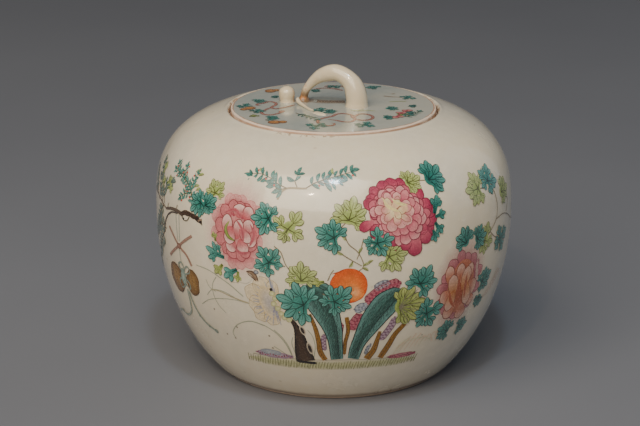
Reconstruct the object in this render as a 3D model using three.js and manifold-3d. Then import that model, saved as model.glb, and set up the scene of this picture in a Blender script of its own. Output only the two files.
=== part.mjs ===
// A melon-shaped covered porcelain jar: a squat lobed body with a lid sunk flush in its mouth,
// and a vine-stem handle luted on the lid. Millimetres, +Z up, the origin where the axis meets
// the surface that the foot ring stands on. The jar's front faces -Y.

import * as THREE from "three";
import { mergeVertices } from "three/addons/utils/BufferGeometryUtils.js";
import Module from "manifold-3d";

// ---- Driving dimensions ----

// The body's outer outline, as radii and heights above the table.
const bellyRadius = 110; // the widest part
const bellyHeight = 98; // where the widest part is
const mouthRadius = 63.4; // the well that the lid sits in
const mouthHeight = 160; // the mouth's rim
const footRadius = 74; // the foot ring's outer edge
const lowerFullness = 2.05; // exponent of the lower half's curve: 2 is an ellipse
const upperFullness = 3.02; // exponent of the upper half's curve: larger is squarer

// The melon's lobes, which fade out at the mouth and the foot.
const lobeCount = 8;
const lobeTurn = 6; // degrees from the front to the nearest groove
const grooveDepth = 0.9;
const lobesFullAt = 0.45; // share of the belly's height, from the foot up
const lobesFadeFrom = 0.5; // share of the way from the belly up to the mouth

// The body's wall, base, foot and ledge.
const wallThickness = 5;
const baseThickness = 6;
const footRingWidth = 5;
const footRecess = 4; // the base's height above the table
const ledgeWidth = 6.4; // how far the ledge reaches in from the mouth
const ledgeThickness = 5;
const shoulderBlend = 12; // from the mouth out to where the wall is at its own thickness

// The lid.
const lidThickness = 6;
const lidProud = 0.8; // the lid's edge above the mouth's rim
const lidClearance = 1.1; // all round, between the lid's edge and the mouth
const lidCrown = 0.8; // the middle of the lid above its edge
const lidEdgeRound = 1.2;
const flangeClearance = 1.2; // all round, between the flange and the ledge
const flangeWidth = 4;
const flangeDepth = 10;

// Gaps that stand for the thin film of slip or the bare contact between two pieces.
const seatGap = 0.3;
const luteGap = 0.3;

// The handle: a stem that springs thin from its root, arches over and lands thick.
const handleRoot = { x: -18.4, y: 11 };
const handleLanding = { x: 14, y: -3.5 };
const handleRise = 25.2; // from the lid's top to the top of the arch
const handleRootRadius = 2.4;
const handleTopRadius = 5.05;
const handleLandingRadius = 6.5;

// The shape of the handle's axis: shares of the way from the root to the landing, and of the rise.
const handleShape = [
  [0, -0.15],
  [0.02, 0.22],
  [0.09, 0.48],
  [0.35, 0.87],
  [0.65, 1],
  [0.91, 0.73],
  [1, 0.3],
  [1, -0.15],
];

// The cut stub of the stem beside the root.
const stubBearing = 196; // degrees from +X, seen from the root
const stubGap = 2.6; // between the root and the stub
const stubRise = 10.2;
const stubRadius = 5.1; // where it is widest
const stubWaist = 0.84; // radius of its foot, as a share of its own radius
const stubWidestFrom = 0.5; // share of its height where it is at its own radius
const stubLean = 0.8; // how far its top leans away from the handle
const stubRoundFrom = 0.58; // share of its height where its top starts to round over
const stubRounding = 2.4; // exponent of that curve
const stubTopShare = 0.35; // radius of its flattened top, as a share of its own radius

// The tendril that curls from the root over the lid, and the relief leaf at its tip.
const tendrilBearing = 243; // degrees from +X, seen from the root
const tendrilGap = 4; // between the root and the tendril's start
const tendrilRadius = 1.4;
const tendrilTipRadius = 0.7;
const tendrilRise = 2.6; // its start's axis above the lid
// Its route after the start, as steps in X and Y from there.
const tendrilRoute = [
  [0.8, -3.5],
  [4.6, -11.4],
  [7.7, -17.5],
  [9.8, -20],
];
const leafLength = 12;
const leafWidth = 8;
const leafThickness = 1.2;

// How finely round shapes are divided.
const stepsPerLobe = 8;
const outlineSteps = 11; // in each half of the body's outline
const lidSteps = 64;
const stemSides = 16;
const stemSteps = 28;

// ---- Levels that follow from the dimensions ----

const lidTop = mouthHeight + lidProud;
const lidUnderside = lidTop - lidThickness;
const ledgeTop = lidUnderside - seatGap;
const ledgeUnderside = ledgeTop - ledgeThickness;
const lidRadius = mouthRadius - lidClearance;
const throatRadius = mouthRadius - ledgeWidth;
const flangeRadius = throatRadius - flangeClearance;

const wasm = await Module();
wasm.setup();

// ---- Materials ----

const porcelain = new THREE.MeshStandardMaterial({ color: 0xd9d0c0, roughness: 0.18, metalness: 0 });
const lidGlaze = new THREE.MeshStandardMaterial({ color: 0xc6c8c2, roughness: 0.2, metalness: 0 });
const stemGlaze = new THREE.MeshStandardMaterial({ color: 0xdccfb8, roughness: 0.2, metalness: 0 });
const biscuit = new THREE.MeshStandardMaterial({ color: 0xc9ab90, roughness: 0.8, metalness: 0 });

// ---- Helpers ----

// A named mesh of the part.
function named(name, geometry, material) {
  const mesh = new THREE.Mesh(geometry, material);
  mesh.name = name;
  return mesh;
}

// Turns a closed outline of [radius, height] pairs into a solid of revolution about Z.
function turned(outline, steps) {
  const points = outline.map(([radius, height]) => new THREE.Vector2(radius, height));
  return new THREE.LatheGeometry(points, steps).rotateX(Math.PI / 2);
}

// A closed geometry as a manifold solid.
function toSolid(geometry) {
  const bare = geometry.clone();
  bare.deleteAttribute("normal");
  bare.deleteAttribute("uv");
  const merged = mergeVertices(bare, 1e-4);
  return new wasm.Manifold(
    new wasm.Mesh({
      numProp: 3,
      vertProperties: merged.attributes.position.array,
      triVerts: new Uint32Array(merged.index.array),
    }),
  );
}

// A manifold solid as a geometry.
function toGeometry(solid) {
  const mesh = solid.getMesh();
  const geometry = new THREE.BufferGeometry();
  geometry.setAttribute("position", new THREE.BufferAttribute(mesh.vertProperties, 3));
  geometry.setIndex(new THREE.BufferAttribute(mesh.triVerts, 1));
  geometry.computeVertexNormals();
  return geometry;
}

// The half height of a superelliptical quadrant that narrows from the belly to edgeRadius
// over the given height.
function quadrantHeight(edgeRadius, height, fullness) {
  return height / (1 - (edgeRadius / bellyRadius) ** fullness) ** (1 / fullness);
}

const lowerHeight = quadrantHeight(footRadius, bellyHeight, lowerFullness);
const upperHeight = quadrantHeight(mouthRadius, mouthHeight - bellyHeight, upperFullness);

// The body's outer height at a radius, on the lower or the upper half.
function lowerOutline(radius) {
  return bellyHeight - lowerHeight * (1 - (radius / bellyRadius) ** lowerFullness) ** (1 / lowerFullness);
}

function upperOutline(radius) {
  return bellyHeight + upperHeight * (1 - (radius / bellyRadius) ** upperFullness) ** (1 / upperFullness);
}

// Points up the outer outline from the foot to the mouth, closer together near the belly.
function outerOutline() {
  const points = [];
  for (let i = 0; i <= outlineSteps; i++) {
    const share = Math.sin(((i / outlineSteps) * Math.PI) / 2);
    const radius = footRadius + (bellyRadius - footRadius) * share;
    points.push([radius, lowerOutline(radius)]);
  }
  for (let i = outlineSteps - 1; i >= 0; i--) {
    const share = Math.sin(((i / outlineSteps) * Math.PI) / 2);
    const radius = mouthRadius + (bellyRadius - mouthRadius) * share;
    points.push([radius, upperOutline(radius)]);
  }
  return points;
}

// The same outline moved inwards by the wall, between the floor and the shoulder.
function innerOutline(outer) {
  const floor = footRecess + baseThickness;
  const points = [];
  for (let i = 1; i < outer.length - 1; i++) {
    const [r0, z0] = outer[i - 1];
    const [r1, z1] = outer[i + 1];
    const length = Math.hypot(r1 - r0, z1 - z0);
    const radius = outer[i][0] - (wallThickness * (z1 - z0)) / length;
    const height = outer[i][1] + (wallThickness * (r1 - r0)) / length;
    const clearOfFloor = height > floor + wallThickness / 2;
    const nearMouth = height > bellyHeight && radius < mouthRadius + shoulderBlend;
    if (clearOfFloor && height < ledgeUnderside && !nearMouth) points.push([radius, height]);
  }
  return points;
}

// How strongly the lobes show at a height: none at the foot and the mouth, all at the belly.
function lobeStrength(height) {
  const fadeFrom = THREE.MathUtils.lerp(bellyHeight, mouthHeight, lobesFadeFrom);
  const fromFoot = THREE.MathUtils.smoothstep(height, 0, bellyHeight * lobesFullAt);
  const toMouth = 1 - THREE.MathUtils.smoothstep(height, fadeFrom, mouthHeight);
  return fromFoot * toMouth;
}

// ---- The jar's body ----

function jarBody() {
  const floor = footRecess + baseThickness;
  const outer = outerOutline();
  const inner = innerOutline(outer);
  const footInner = footRadius - footRingWidth;
  const floorEdge = inner[0][0] - wallThickness / 2;
  const outline = [
    [0, footRecess],
    [footInner - footRecess / 2, footRecess],
    [footInner, 0],
    ...outer,
    [mouthRadius, ledgeTop],
    [throatRadius, ledgeTop],
    [throatRadius, ledgeUnderside],
    [mouthRadius, ledgeUnderside],
    ...inner.reverse(),
    [floorEdge, floor],
    [0, floor],
  ];
  const geometry = turned(outline, lobeCount * stepsPerLobe);
  const position = geometry.attributes.position;
  const turn = THREE.MathUtils.degToRad(lobeTurn);
  for (let i = 0; i < position.count; i++) {
    const x = position.getX(i);
    const y = position.getY(i);
    const radius = Math.hypot(x, y);
    if (radius <= mouthRadius) continue;
    const angle = Math.atan2(x, -y);
    const groove = 1 - Math.abs(Math.sin(((angle - turn) * lobeCount) / 2));
    const scale = 1 - (grooveDepth * groove * lobeStrength(position.getZ(i))) / radius;
    position.setX(i, x * scale);
    position.setY(i, y * scale);
  }
  return named("jar_body", geometry, porcelain);
}

// ---- The lid's plate and the locating flange under it ----

function lidPlate() {
  const outline = [
    [0, lidUnderside],
    [lidRadius - lidEdgeRound, lidUnderside],
    [lidRadius, lidUnderside + lidEdgeRound],
    [lidRadius, lidTop - lidEdgeRound],
    [lidRadius - lidEdgeRound * 0.3, lidTop - lidEdgeRound * 0.3],
    [lidRadius - lidEdgeRound, lidTop],
    [lidRadius * 0.6, lidTop + lidCrown * 0.64],
    [0, lidTop + lidCrown],
  ];
  return named("lid_plate", turned(outline, lidSteps), lidGlaze);
}

function lidFlange() {
  const top = lidUnderside - luteGap;
  const bottom = lidUnderside - flangeDepth;
  const outline = [
    [flangeRadius - flangeWidth, top],
    [flangeRadius - flangeWidth, bottom],
    [flangeRadius, bottom],
    [flangeRadius, top],
    [flangeRadius - flangeWidth, top],
  ];
  return named("lid_flange", turned(outline, lidSteps), biscuit);
}

// ---- Stems: the handle, the stub and the tendril ----

// A round stem of changing thickness along a curve. A solid of revolution with flat ends is
// turned first, one unit high, and its rings are then carried onto the curve.
function stem(curve, radiusAt) {
  const outline = [[0, 0]];
  for (let i = 0; i <= stemSteps; i++) {
    const share = i / stemSteps;
    outline.push([radiusAt(share), share]);
  }
  outline.push([0, 1]);
  const geometry = turned(outline, stemSides);
  const frames = curve.computeFrenetFrames(stemSteps);
  const position = geometry.attributes.position;
  const point = new THREE.Vector3();
  for (let i = 0; i < position.count; i++) {
    const share = THREE.MathUtils.clamp(position.getZ(i), 0, 1);
    const ring = Math.round(share * stemSteps);
    curve.getPointAt(share, point);
    point.addScaledVector(frames.normals[ring], position.getX(i));
    point.addScaledVector(frames.binormals[ring], position.getY(i));
    position.setXYZ(i, point.x, point.y, point.z);
  }
  return geometry;
}

// Cuts a stem off flat, a lute gap above the lid's crowned top.
function landedOnLid(geometry) {
  const lid = new THREE.CylinderGeometry(lidRadius, lidRadius, lidThickness * 3, lidSteps);
  lid.rotateX(Math.PI / 2);
  lid.translate(0, 0, lidTop + lidCrown + luteGap - lidThickness * 1.5);
  return toGeometry(toSolid(geometry).subtract(toSolid(lid)));
}

// The middle of a stem's foot that stands at a bearing from the handle's root, a gap away.
function besideRoot(bearing, radius, gap) {
  const angle = THREE.MathUtils.degToRad(bearing);
  const distance = handleRootRadius + radius + gap;
  return {
    x: handleRoot.x + Math.cos(angle) * distance,
    y: handleRoot.y + Math.sin(angle) * distance,
  };
}

function stemHandle() {
  const root = new THREE.Vector3(handleRoot.x, handleRoot.y, lidTop);
  const landing = new THREE.Vector3(handleLanding.x, handleLanding.y, lidTop);
  const axisRise = handleRise - handleTopRadius;
  const points = handleShape.map(([share, rise]) => {
    return root.clone().lerp(landing, share).setZ(lidTop + axisRise * rise);
  });
  const curve = new THREE.CatmullRomCurve3(points);
  const radiusAt = (share) => {
    const swell = THREE.MathUtils.smoothstep(share, 0.15, 0.5) * (handleTopRadius - handleRootRadius);
    const spread = THREE.MathUtils.smoothstep(share, 0.6, 0.85) * (handleLandingRadius - handleTopRadius);
    return handleRootRadius + swell + spread;
  };
  return named("stem_handle", landedOnLid(stem(curve, radiusAt)), stemGlaze);
}

function stemStub() {
  const { x, y } = besideRoot(stubBearing, stubRadius, stubGap);
  const curve = new THREE.LineCurve3(
    new THREE.Vector3(x, y, lidTop),
    new THREE.Vector3(x - stubLean, y, lidTop + stubRise),
  );
  const radiusAt = (share) => {
    const swell = THREE.MathUtils.smoothstep(share, 0, stubWidestFrom) * (1 - stubWaist);
    const over = Math.max(0, share - stubRoundFrom) / (1 - stubRoundFrom);
    const rounding = Math.max(stubTopShare, Math.sqrt(1 - over ** stubRounding));
    return stubRadius * (stubWaist + swell) * rounding;
  };
  return named("stem_stub", landedOnLid(stem(curve, radiusAt)), stemGlaze);
}

// The tendril's axis over the lid.
function tendrilCurve() {
  const start = besideRoot(tendrilBearing, tendrilRadius, tendrilGap);
  const surface = lidTop + lidCrown + luteGap;
  const points = [new THREE.Vector3(start.x, start.y, surface + tendrilRise)];
  for (const [dx, dy] of tendrilRoute) {
    points.push(new THREE.Vector3(start.x + dx, start.y + dy, surface + tendrilRadius));
  }
  points.at(-1).z = surface + tendrilTipRadius;
  return new THREE.CatmullRomCurve3(points);
}

function tendril() {
  const curve = tendrilCurve();
  const radiusAt = (share) => THREE.MathUtils.lerp(tendrilRadius, tendrilTipRadius, share);
  return named("tendril", landedOnLid(stem(curve, radiusAt)), stemGlaze);
}

function tendrilLeaf() {
  const curve = tendrilCurve();
  const tip = curve.getPointAt(1);
  const along = curve.getTangentAt(1);
  const shape = new THREE.Shape();
  shape.moveTo(0, 0);
  shape.quadraticCurveTo(leafLength * 0.3, leafWidth, leafLength, 0);
  shape.quadraticCurveTo(leafLength * 0.3, -leafWidth, 0, 0);
  const geometry = new THREE.ExtrudeGeometry(shape, {
    depth: leafThickness,
    bevelEnabled: false,
    curveSegments: 8,
  });
  const mesh = named("tendril_leaf", geometry, stemGlaze);
  const start = tendrilTipRadius + luteGap;
  mesh.rotation.z = Math.atan2(along.y, along.x);
  mesh.position.set(
    tip.x + Math.cos(mesh.rotation.z) * start,
    tip.y + Math.sin(mesh.rotation.z) * start,
    lidTop + lidCrown + luteGap,
  );
  return mesh;
}

// ---- The jar ----

const lid = new THREE.Group();
lid.add(lidPlate(), lidFlange(), stemHandle(), stemStub(), tendril(), tendrilLeaf());

const gingerJar = new THREE.Group();
gingerJar.add(jarBody(), lid);

export default gingerJar;
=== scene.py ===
import math
import random

import bpy
import numpy as np
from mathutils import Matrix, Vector, noise


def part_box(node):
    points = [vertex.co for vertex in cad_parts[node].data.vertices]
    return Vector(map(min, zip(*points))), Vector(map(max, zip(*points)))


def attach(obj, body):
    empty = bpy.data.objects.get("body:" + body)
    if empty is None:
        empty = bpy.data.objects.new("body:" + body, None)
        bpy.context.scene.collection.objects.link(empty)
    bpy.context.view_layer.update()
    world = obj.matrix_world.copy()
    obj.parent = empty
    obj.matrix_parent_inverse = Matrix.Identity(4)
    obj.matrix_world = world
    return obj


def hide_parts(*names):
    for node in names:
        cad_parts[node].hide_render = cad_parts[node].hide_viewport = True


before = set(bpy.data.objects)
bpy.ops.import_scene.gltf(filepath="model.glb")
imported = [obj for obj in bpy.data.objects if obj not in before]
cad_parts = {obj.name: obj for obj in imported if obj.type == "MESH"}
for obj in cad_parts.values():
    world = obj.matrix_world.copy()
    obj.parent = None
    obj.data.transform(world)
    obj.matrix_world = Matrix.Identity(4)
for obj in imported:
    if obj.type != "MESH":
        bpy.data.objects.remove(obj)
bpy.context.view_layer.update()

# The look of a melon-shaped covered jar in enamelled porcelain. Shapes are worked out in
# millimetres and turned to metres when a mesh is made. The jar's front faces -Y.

MM = 0.001

# ---- Sizes, in millimetres ----

BELLY_RADIUS = 110
BELLY_HEIGHT = 98
LOWER_FULLNESS = 2.05
UPPER_FULLNESS = 3.02
FOOT_RADIUS = 74
FOOT_RING_WIDTH = 5
FOOT_RECESS = 4
WALL = 5
FLOOR_HEIGHT = 10
LOBES = 8
LOBE_TURN = 6
GROOVE_DEPTH = 0.9
LOBES_FULL_AT = 0.45
LOBES_FADE_FROM = 0.5
GLAZE_SKIN = 0.3  # the painted wall lies this far inside the part's own outline

MOUTH_RADIUS = 63.4
MOUTH_HEIGHT = 160
THROAT_RADIUS = 57
LEDGE_THICKNESS = 5

lid_low, lid_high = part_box("lid_plate")
flange_low, flange_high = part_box("lid_flange")
LID_RADIUS = lid_high.x / MM
LID_CROWN_TOP = lid_high.z / MM
LID_UNDERSIDE = lid_low.z / MM
LID_CROWN = 0.8
LID_EDGE_TOP = LID_CROWN_TOP - LID_CROWN
LEDGE_TOP = LID_UNDERSIDE - 0.3
FLANGE_RADIUS = flange_high.x / MM
FLANGE_BOTTOM = flange_low.z / MM
FLANGE_WIDTH = 4

TURNS = 288  # steps round a thrown piece
OUTLINE_STEPS = 600  # heights in the table of each half of the wall


# ---- The jar's outline ----

def quadrant_height(edge_radius, height, fullness):
    """Half height of the curve that narrows from the belly to edge_radius over a height."""
    return height / (1 - (edge_radius / BELLY_RADIUS) ** fullness) ** (1 / fullness)


LOWER_HEIGHT = quadrant_height(FOOT_RADIUS, BELLY_HEIGHT, LOWER_FULLNESS)
UPPER_HEIGHT = quadrant_height(MOUTH_RADIUS, MOUTH_HEIGHT - BELLY_HEIGHT, UPPER_FULLNESS)


def wall_radius(height):
    """The wall's outer radius at a height, before the lobes."""
    below = height < BELLY_HEIGHT
    half = LOWER_HEIGHT if below else UPPER_HEIGHT
    fullness = LOWER_FULLNESS if below else UPPER_FULLNESS
    share = min(1, abs(height - BELLY_HEIGHT) / half)
    return BELLY_RADIUS * (1 - share ** fullness) ** (1 / fullness)


def smooth(low, high, value):
    """Rises smoothly from 0 to 1 between low and high, or falls where low is the greater."""
    share = np.clip((value - low) / (high - low), 0, 1)
    return share * share * (3 - 2 * share)


def groove(angle, height):
    """How deep the melon's grooves are at an angle from the front and a height."""
    fade_from = BELLY_HEIGHT + (MOUTH_HEIGHT - BELLY_HEIGHT) * LOBES_FADE_FROM
    strength = smooth(0, BELLY_HEIGHT * LOBES_FULL_AT, height)
    strength = strength * (1 - smooth(fade_from, MOUTH_HEIGHT, height))
    ridge = np.abs(np.sin((angle - math.radians(LOBE_TURN)) * LOBES / 2))
    return GROOVE_DEPTH * (1 - ridge) * strength


class Outline:
    """The wall from foot to mouth by arc length, so that paint can be placed along it."""

    def __init__(self):
        lower = np.linspace(0, BELLY_HEIGHT, OUTLINE_STEPS)
        quarter = np.linspace(0, math.pi / 2, OUTLINE_STEPS)
        upper = BELLY_HEIGHT + (MOUTH_HEIGHT - BELLY_HEIGHT) * np.sin(quarter)
        self.height = np.concatenate([lower, upper[1:]])
        self.radius = np.array([wall_radius(h) for h in self.height]) - GLAZE_SKIN
        rise = np.diff(self.height)
        reach = np.diff(self.radius)
        self.length = np.concatenate([[0], np.cumsum(np.hypot(rise, reach))])
        slope_rise = np.gradient(self.height, self.length)
        slope_reach = np.gradient(self.radius, self.length)
        self.out_radius = slope_rise
        self.out_height = -slope_reach

    def at(self, length):
        """Radius, height and outward direction at an arc length."""
        values = (self.radius, self.height, self.out_radius, self.out_height)
        return [np.interp(length, self.length, v) for v in values]

    def evenly(self, step):
        """Radius and height pairs, a step apart, from the foot to the mouth."""
        count = int(self.length[-1] / step)
        radius, height = self.at(np.linspace(0, self.length[-1], count))[:2]
        return list(zip(radius, height))


wall = Outline()


# ---- Making meshes ----

def select_only(piece):
    bpy.ops.object.select_all(action="DESELECT")
    piece.select_set(True)
    bpy.context.view_layer.objects.active = piece


def piece_from(name, points, faces, edges=()):
    """A mesh object from millimetre points."""
    mesh = bpy.data.meshes.new(name)
    mesh.from_pydata([tuple(c * MM for c in point) for point in points], list(edges), list(faces))
    piece = bpy.data.objects.new(name, mesh)
    bpy.context.scene.collection.objects.link(piece)
    return piece


def finish_mesh(piece, angle=40):
    """Merges doubles, turns the faces outwards and smooths the piece."""
    select_only(piece)
    bpy.ops.object.mode_set(mode="EDIT")
    bpy.ops.mesh.select_all(action="SELECT")
    bpy.ops.mesh.remove_doubles(threshold=1e-6)
    bpy.ops.mesh.normals_make_consistent(inside=False)
    bpy.ops.object.mode_set(mode="OBJECT")
    bpy.ops.object.shade_smooth_by_angle(angle=math.radians(angle))


def thrown(name, outline, turns=TURNS):
    """Spins an outline of radius and height pairs about the jar's axis, as on a wheel."""
    points = [(radius, 0, height) for radius, height in outline]
    edges = [(i, i + 1) for i in range(len(points) - 1)]
    piece = piece_from(name, points, (), edges)
    select_only(piece)
    bpy.ops.object.mode_set(mode="EDIT")
    bpy.ops.mesh.select_all(action="SELECT")
    bpy.ops.mesh.spin(steps=turns, angle=2 * math.pi, center=(0, 0, 0), axis=(0, 0, 1))
    bpy.ops.object.mode_set(mode="OBJECT")
    return piece


def arc(centre, radius, start, end, steps=6):
    """Points round part of a circle, in degrees, for a rounded edge in an outline."""
    angles = np.radians(np.linspace(start, end, steps))
    return [(centre[0] + radius * math.cos(a), centre[1] + radius * math.sin(a)) for a in angles]


def smooth_path(points, step):
    """Points a step apart on a smooth curve through the given ones (centripetal Catmull-Rom)."""
    points = np.array([tuple(p) for p in points], float)
    padded = np.concatenate([[2 * points[0] - points[1]], points, [2 * points[-1] - points[-2]]])
    dense = []
    for p0, p1, p2, p3 in zip(padded, padded[1:], padded[2:], padded[3:]):
        chords = (p1 - p0, p2 - p1, p3 - p2)
        k1, k2, k3 = np.cumsum([max(1e-6, np.linalg.norm(chord)) ** 0.5 for chord in chords])
        t = np.linspace(k1, k2, 16, endpoint=False)[:, None]
        a1 = p0 + (p1 - p0) * t / k1
        a2 = p1 + (p2 - p1) * (t - k1) / (k2 - k1)
        a3 = p2 + (p3 - p2) * (t - k2) / (k3 - k2)
        b1 = a1 + (a2 - a1) * t / k2
        b2 = a2 + (a3 - a2) * (t - k1) / (k3 - k1)
        dense.append(b1 + (b2 - b1) * (t - k1) / (k2 - k1))
    dense = np.concatenate(dense + [points[-1:]])
    length = np.concatenate([[0], np.cumsum(np.linalg.norm(np.diff(dense, axis=0), axis=1))])
    even = np.linspace(0, length[-1], max(3, int(round(length[-1] / step)) + 1))
    return np.stack([np.interp(even, length, column) for column in dense.T], axis=1)


def own(piece, body, slot, finish, *nodes):
    """Gives a finished piece its body, its finish and the nodes it stands for. The slot is not used."""
    piece.data.materials.clear()
    piece.data.materials.append(finish)
    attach(piece, body)
    if nodes:
        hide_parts(*nodes)
    return piece


# ---- Finishes ----

class Signal:
    """A socket that Python's operators work on. Each operator adds one Math node."""

    def __init__(self, finish, socket):
        self.finish = finish
        self.socket = socket

    def math(self, operation, *values):
        return self.finish.node("ShaderNodeMath", {"operation": operation}, dict(enumerate(values)))

    def __add__(self, other):
        return self.math("ADD", self, other)

    def __sub__(self, other):
        return self.math("SUBTRACT", self, other)

    def __mul__(self, other):
        return self.math("MULTIPLY", self, other)

    def __rsub__(self, other):
        return self.math("SUBTRACT", other, self)

    __radd__ = __add__
    __rmul__ = __mul__


class Finish:
    """A material and the nodes that make it."""

    def __init__(self, name, **constants):
        self.material = bpy.data.materials.new(name)
        self.material.use_nodes = True
        self.tree = self.material.node_tree
        self.shader = self.tree.nodes["Principled BSDF"]
        for socket, value in constants.items():
            self.shader.inputs[socket.replace("_", " ")].default_value = value
        self.place = self.node("ShaderNodeTexCoord", output="Object")

    def node(self, kind, settings=None, values=None, output=0):
        """Adds a node: its settings first, then the values or links of its sockets."""
        node = self.tree.nodes.new(kind)
        for key, value in (settings or {}).items():
            if key == "stops":
                ramp = node.color_ramp
                while len(ramp.elements) < len(value):
                    ramp.elements.new(0.5)
                for element, (position, colour) in zip(ramp.elements, value):
                    element.position = position
                    element.color = colour
            else:
                setattr(node, key, value)
        for key, value in (values or {}).items():
            if isinstance(value, Signal):
                self.tree.links.new(value.socket, node.inputs[key])
            else:
                node.inputs[key].default_value = value
        return Signal(self, node.outputs[output])

    def feed(self, socket, signal):
        self.tree.links.new(signal.socket, self.shader.inputs[socket])

    def noise(self, scale, detail=2, roughness=0.5):
        values = {"Vector": self.place, "Scale": scale, "Detail": detail, "Roughness": roughness}
        return self.node("ShaderNodeTexNoise", {"normalize": True}, values)

    def ramp(self, signal, low, high):
        """0 below low and 1 above high, or the other way round, smoothly between."""
        values = {"Value": signal, "From Min": low, "From Max": high, "To Min": 0.0, "To Max": 1.0}
        return self.node("ShaderNodeMapRange", {"interpolation_type": "SMOOTHSTEP"}, values)

    def mix(self, factor, first, second, blend="MIX"):
        """Mixes two colours."""
        settings = {"data_type": "RGBA", "blend_type": blend}
        return self.node("ShaderNodeMix", settings, {0: factor, 6: first, 7: second}, output=2)

    def bump(self, height, distance, strength=1.0):
        values = {"Height": height, "Distance": distance, "Strength": strength}
        self.feed("Normal", self.node("ShaderNodeBump", None, values))

    def height_and_radius(self):
        """The height, and the distance from the jar's axis, in metres."""
        split = self.node("ShaderNodeSeparateXYZ", None, {"Vector": self.place})
        x, y, height = (Signal(self, split.socket.node.outputs[i]) for i in range(3))
        squares = x * x + y * y
        return height, squares.math("SQRT", squares)

    def distance_from(self, place):
        """The distance from a place on the piece, in metres."""
        values = {0: self.place, 1: place}
        return self.node("ShaderNodeVectorMath", {"operation": "DISTANCE"}, values, output="Value")

    def ripple(self):
        """The faint waves that a brushed glaze sets in."""
        return self.noise(110, 1) * 0.6 + self.noise(420, 2) * 0.22

    def specks(self, scale, size, share):
        """Small round specks: one in each cell, kept in only a share of the cells."""
        values = {"Vector": self.place, "Scale": scale}
        cell = self.node("ShaderNodeTexVoronoi", {"feature": "F1"}, values)
        lottery = Signal(self, cell.socket.node.outputs["Color"])
        pick = self.node("ShaderNodeSeparateColor", None, {"Color": lottery})
        kept = self.node("ShaderNodeMath", {"operation": "LESS_THAN"}, {0: pick, 1: share})
        return self.ramp(cell, size, size * 0.4) * kept


GLAZE_WARM = (0.82, 0.715, 0.53, 1)
GLAZE_COOL = (0.73, 0.665, 0.53, 1)
GLAZE_CLOUD = (0.84, 0.76, 0.61, 1)
IRON = (0.10, 0.06, 0.035, 1)
BISCUIT = (0.60, 0.43, 0.31, 1)
LID_COOL = (0.38, 0.41, 0.37, 1)
LID_WARM = (0.52, 0.50, 0.41, 1)
IVORY = (0.75, 0.62, 0.41, 1)
IVORY_DEEP = (0.72, 0.61, 0.44, 1)
GRIME = (0.20, 0.10, 0.035, 1)
CHIPPED_AT = (-0.016, -0.062, 0.160)  # where the rim of the mouth is chipped
COAT_OF_GLASS = 0.7  # the weight of the clear gloss over a glaze, which bare clay hasn't
GLASSY = {"IOR": 1.5, "Coat_Weight": COAT_OF_GLASS, "Coat_Roughness": 0.06}


def glaze_colour(finish, warm=GLAZE_WARM, cool=GLAZE_COOL, cloud=GLAZE_CLOUD):
    """The clouded off-white of the glaze, with iron specks burnt through it."""
    broad = finish.ramp(finish.noise(16, 3), 0.35, 0.68)
    fine = finish.ramp(finish.noise(170, 4, 0.6), 0.38, 0.72)
    colour = finish.mix(broad, warm, cool)
    colour = finish.mix(fine * 0.5, colour, cloud)
    haze = finish.specks(95, 0.13, 0.16) * 0.30
    colour = finish.mix(haze, colour, (0.45, 0.33, 0.2, 1))
    return finish.mix(finish.specks(60, 0.045, 0.22) * 0.8, colour, IRON)


def body_glaze():
    """Warm glaze, with bare clay at the foot ring and the lid's seat, painted shade low on the foot, and a
    stained, chipped rim.
    """
    finish = Finish("body_glaze", **GLASSY)
    height, radius = finish.height_and_radius()
    colour = glaze_colour(finish)
    ragged = finish.noise(260, 3) * 0.0012
    foot = finish.ramp(height + ragged, 0.0030, 0.0022) * finish.ramp(radius, 0.0655, 0.067)
    # Painted shade: a dark, ragged band low on the outside of the foot ring, just above the floor.
    foot_shade_band = finish.ramp(height + ragged, 0.0062, 0.0036)
    foot_shade_band = foot_shade_band * finish.ramp(radius, 0.070, 0.072)
    seat = finish.ramp(height, 0.1585, 0.1578) * finish.ramp(height, 0.1475, 0.1490)
    seat = seat * finish.ramp(radius, 0.0642, 0.0636)
    bare = foot.math("MAXIMUM", foot, seat)
    clay = finish.mix(finish.noise(300, 3), BISCUIT, (0.72, 0.58, 0.45, 1))
    colour = finish.mix(foot_shade_band * 0.75, colour, (0.30, 0.20, 0.13, 1))
    rim = finish.ramp(radius, 0.0652, 0.0640) * finish.ramp(height, 0.1570, 0.1588)
    stain = finish.ramp(finish.noise(240, 3), 0.45, 0.62)
    colour = finish.mix(rim * stain * 0.8, colour, (0.40, 0.22, 0.10, 1))
    chips = finish.ramp(finish.distance_from(CHIPPED_AT), 0.026, 0.010)
    chips = chips * finish.ramp(radius, 0.0685, 0.0655)
    chips = chips * finish.ramp(finish.noise(420, 3, 0.6), 0.52, 0.62)
    colour = finish.mix(chips * 0.75, colour, (0.33, 0.20, 0.09, 1))
    colour = finish.mix(bare, colour, clay)
    finish.feed("Base Color", colour)
    ripple = finish.ripple()
    grit = finish.noise(1800, 2) * bare
    pinholes = finish.specks(150, 0.09, 0.10)
    finish.bump(ripple - pinholes * 0.35 + grit * 0.5, 0.00022, 0.6)
    smear = finish.ramp(finish.noise(38, 4, 0.65), 0.4, 0.75)
    finish.feed("Roughness", smear * 0.10 + 0.20 + bare * 0.5)
    finish.feed("Coat Weight", COAT_OF_GLASS - bare * COAT_OF_GLASS)
    return finish.material


def lid_glaze_colour(finish):
    return glaze_colour(finish, LID_COOL, LID_WARM, (0.50, 0.50, 0.44, 1))


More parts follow.
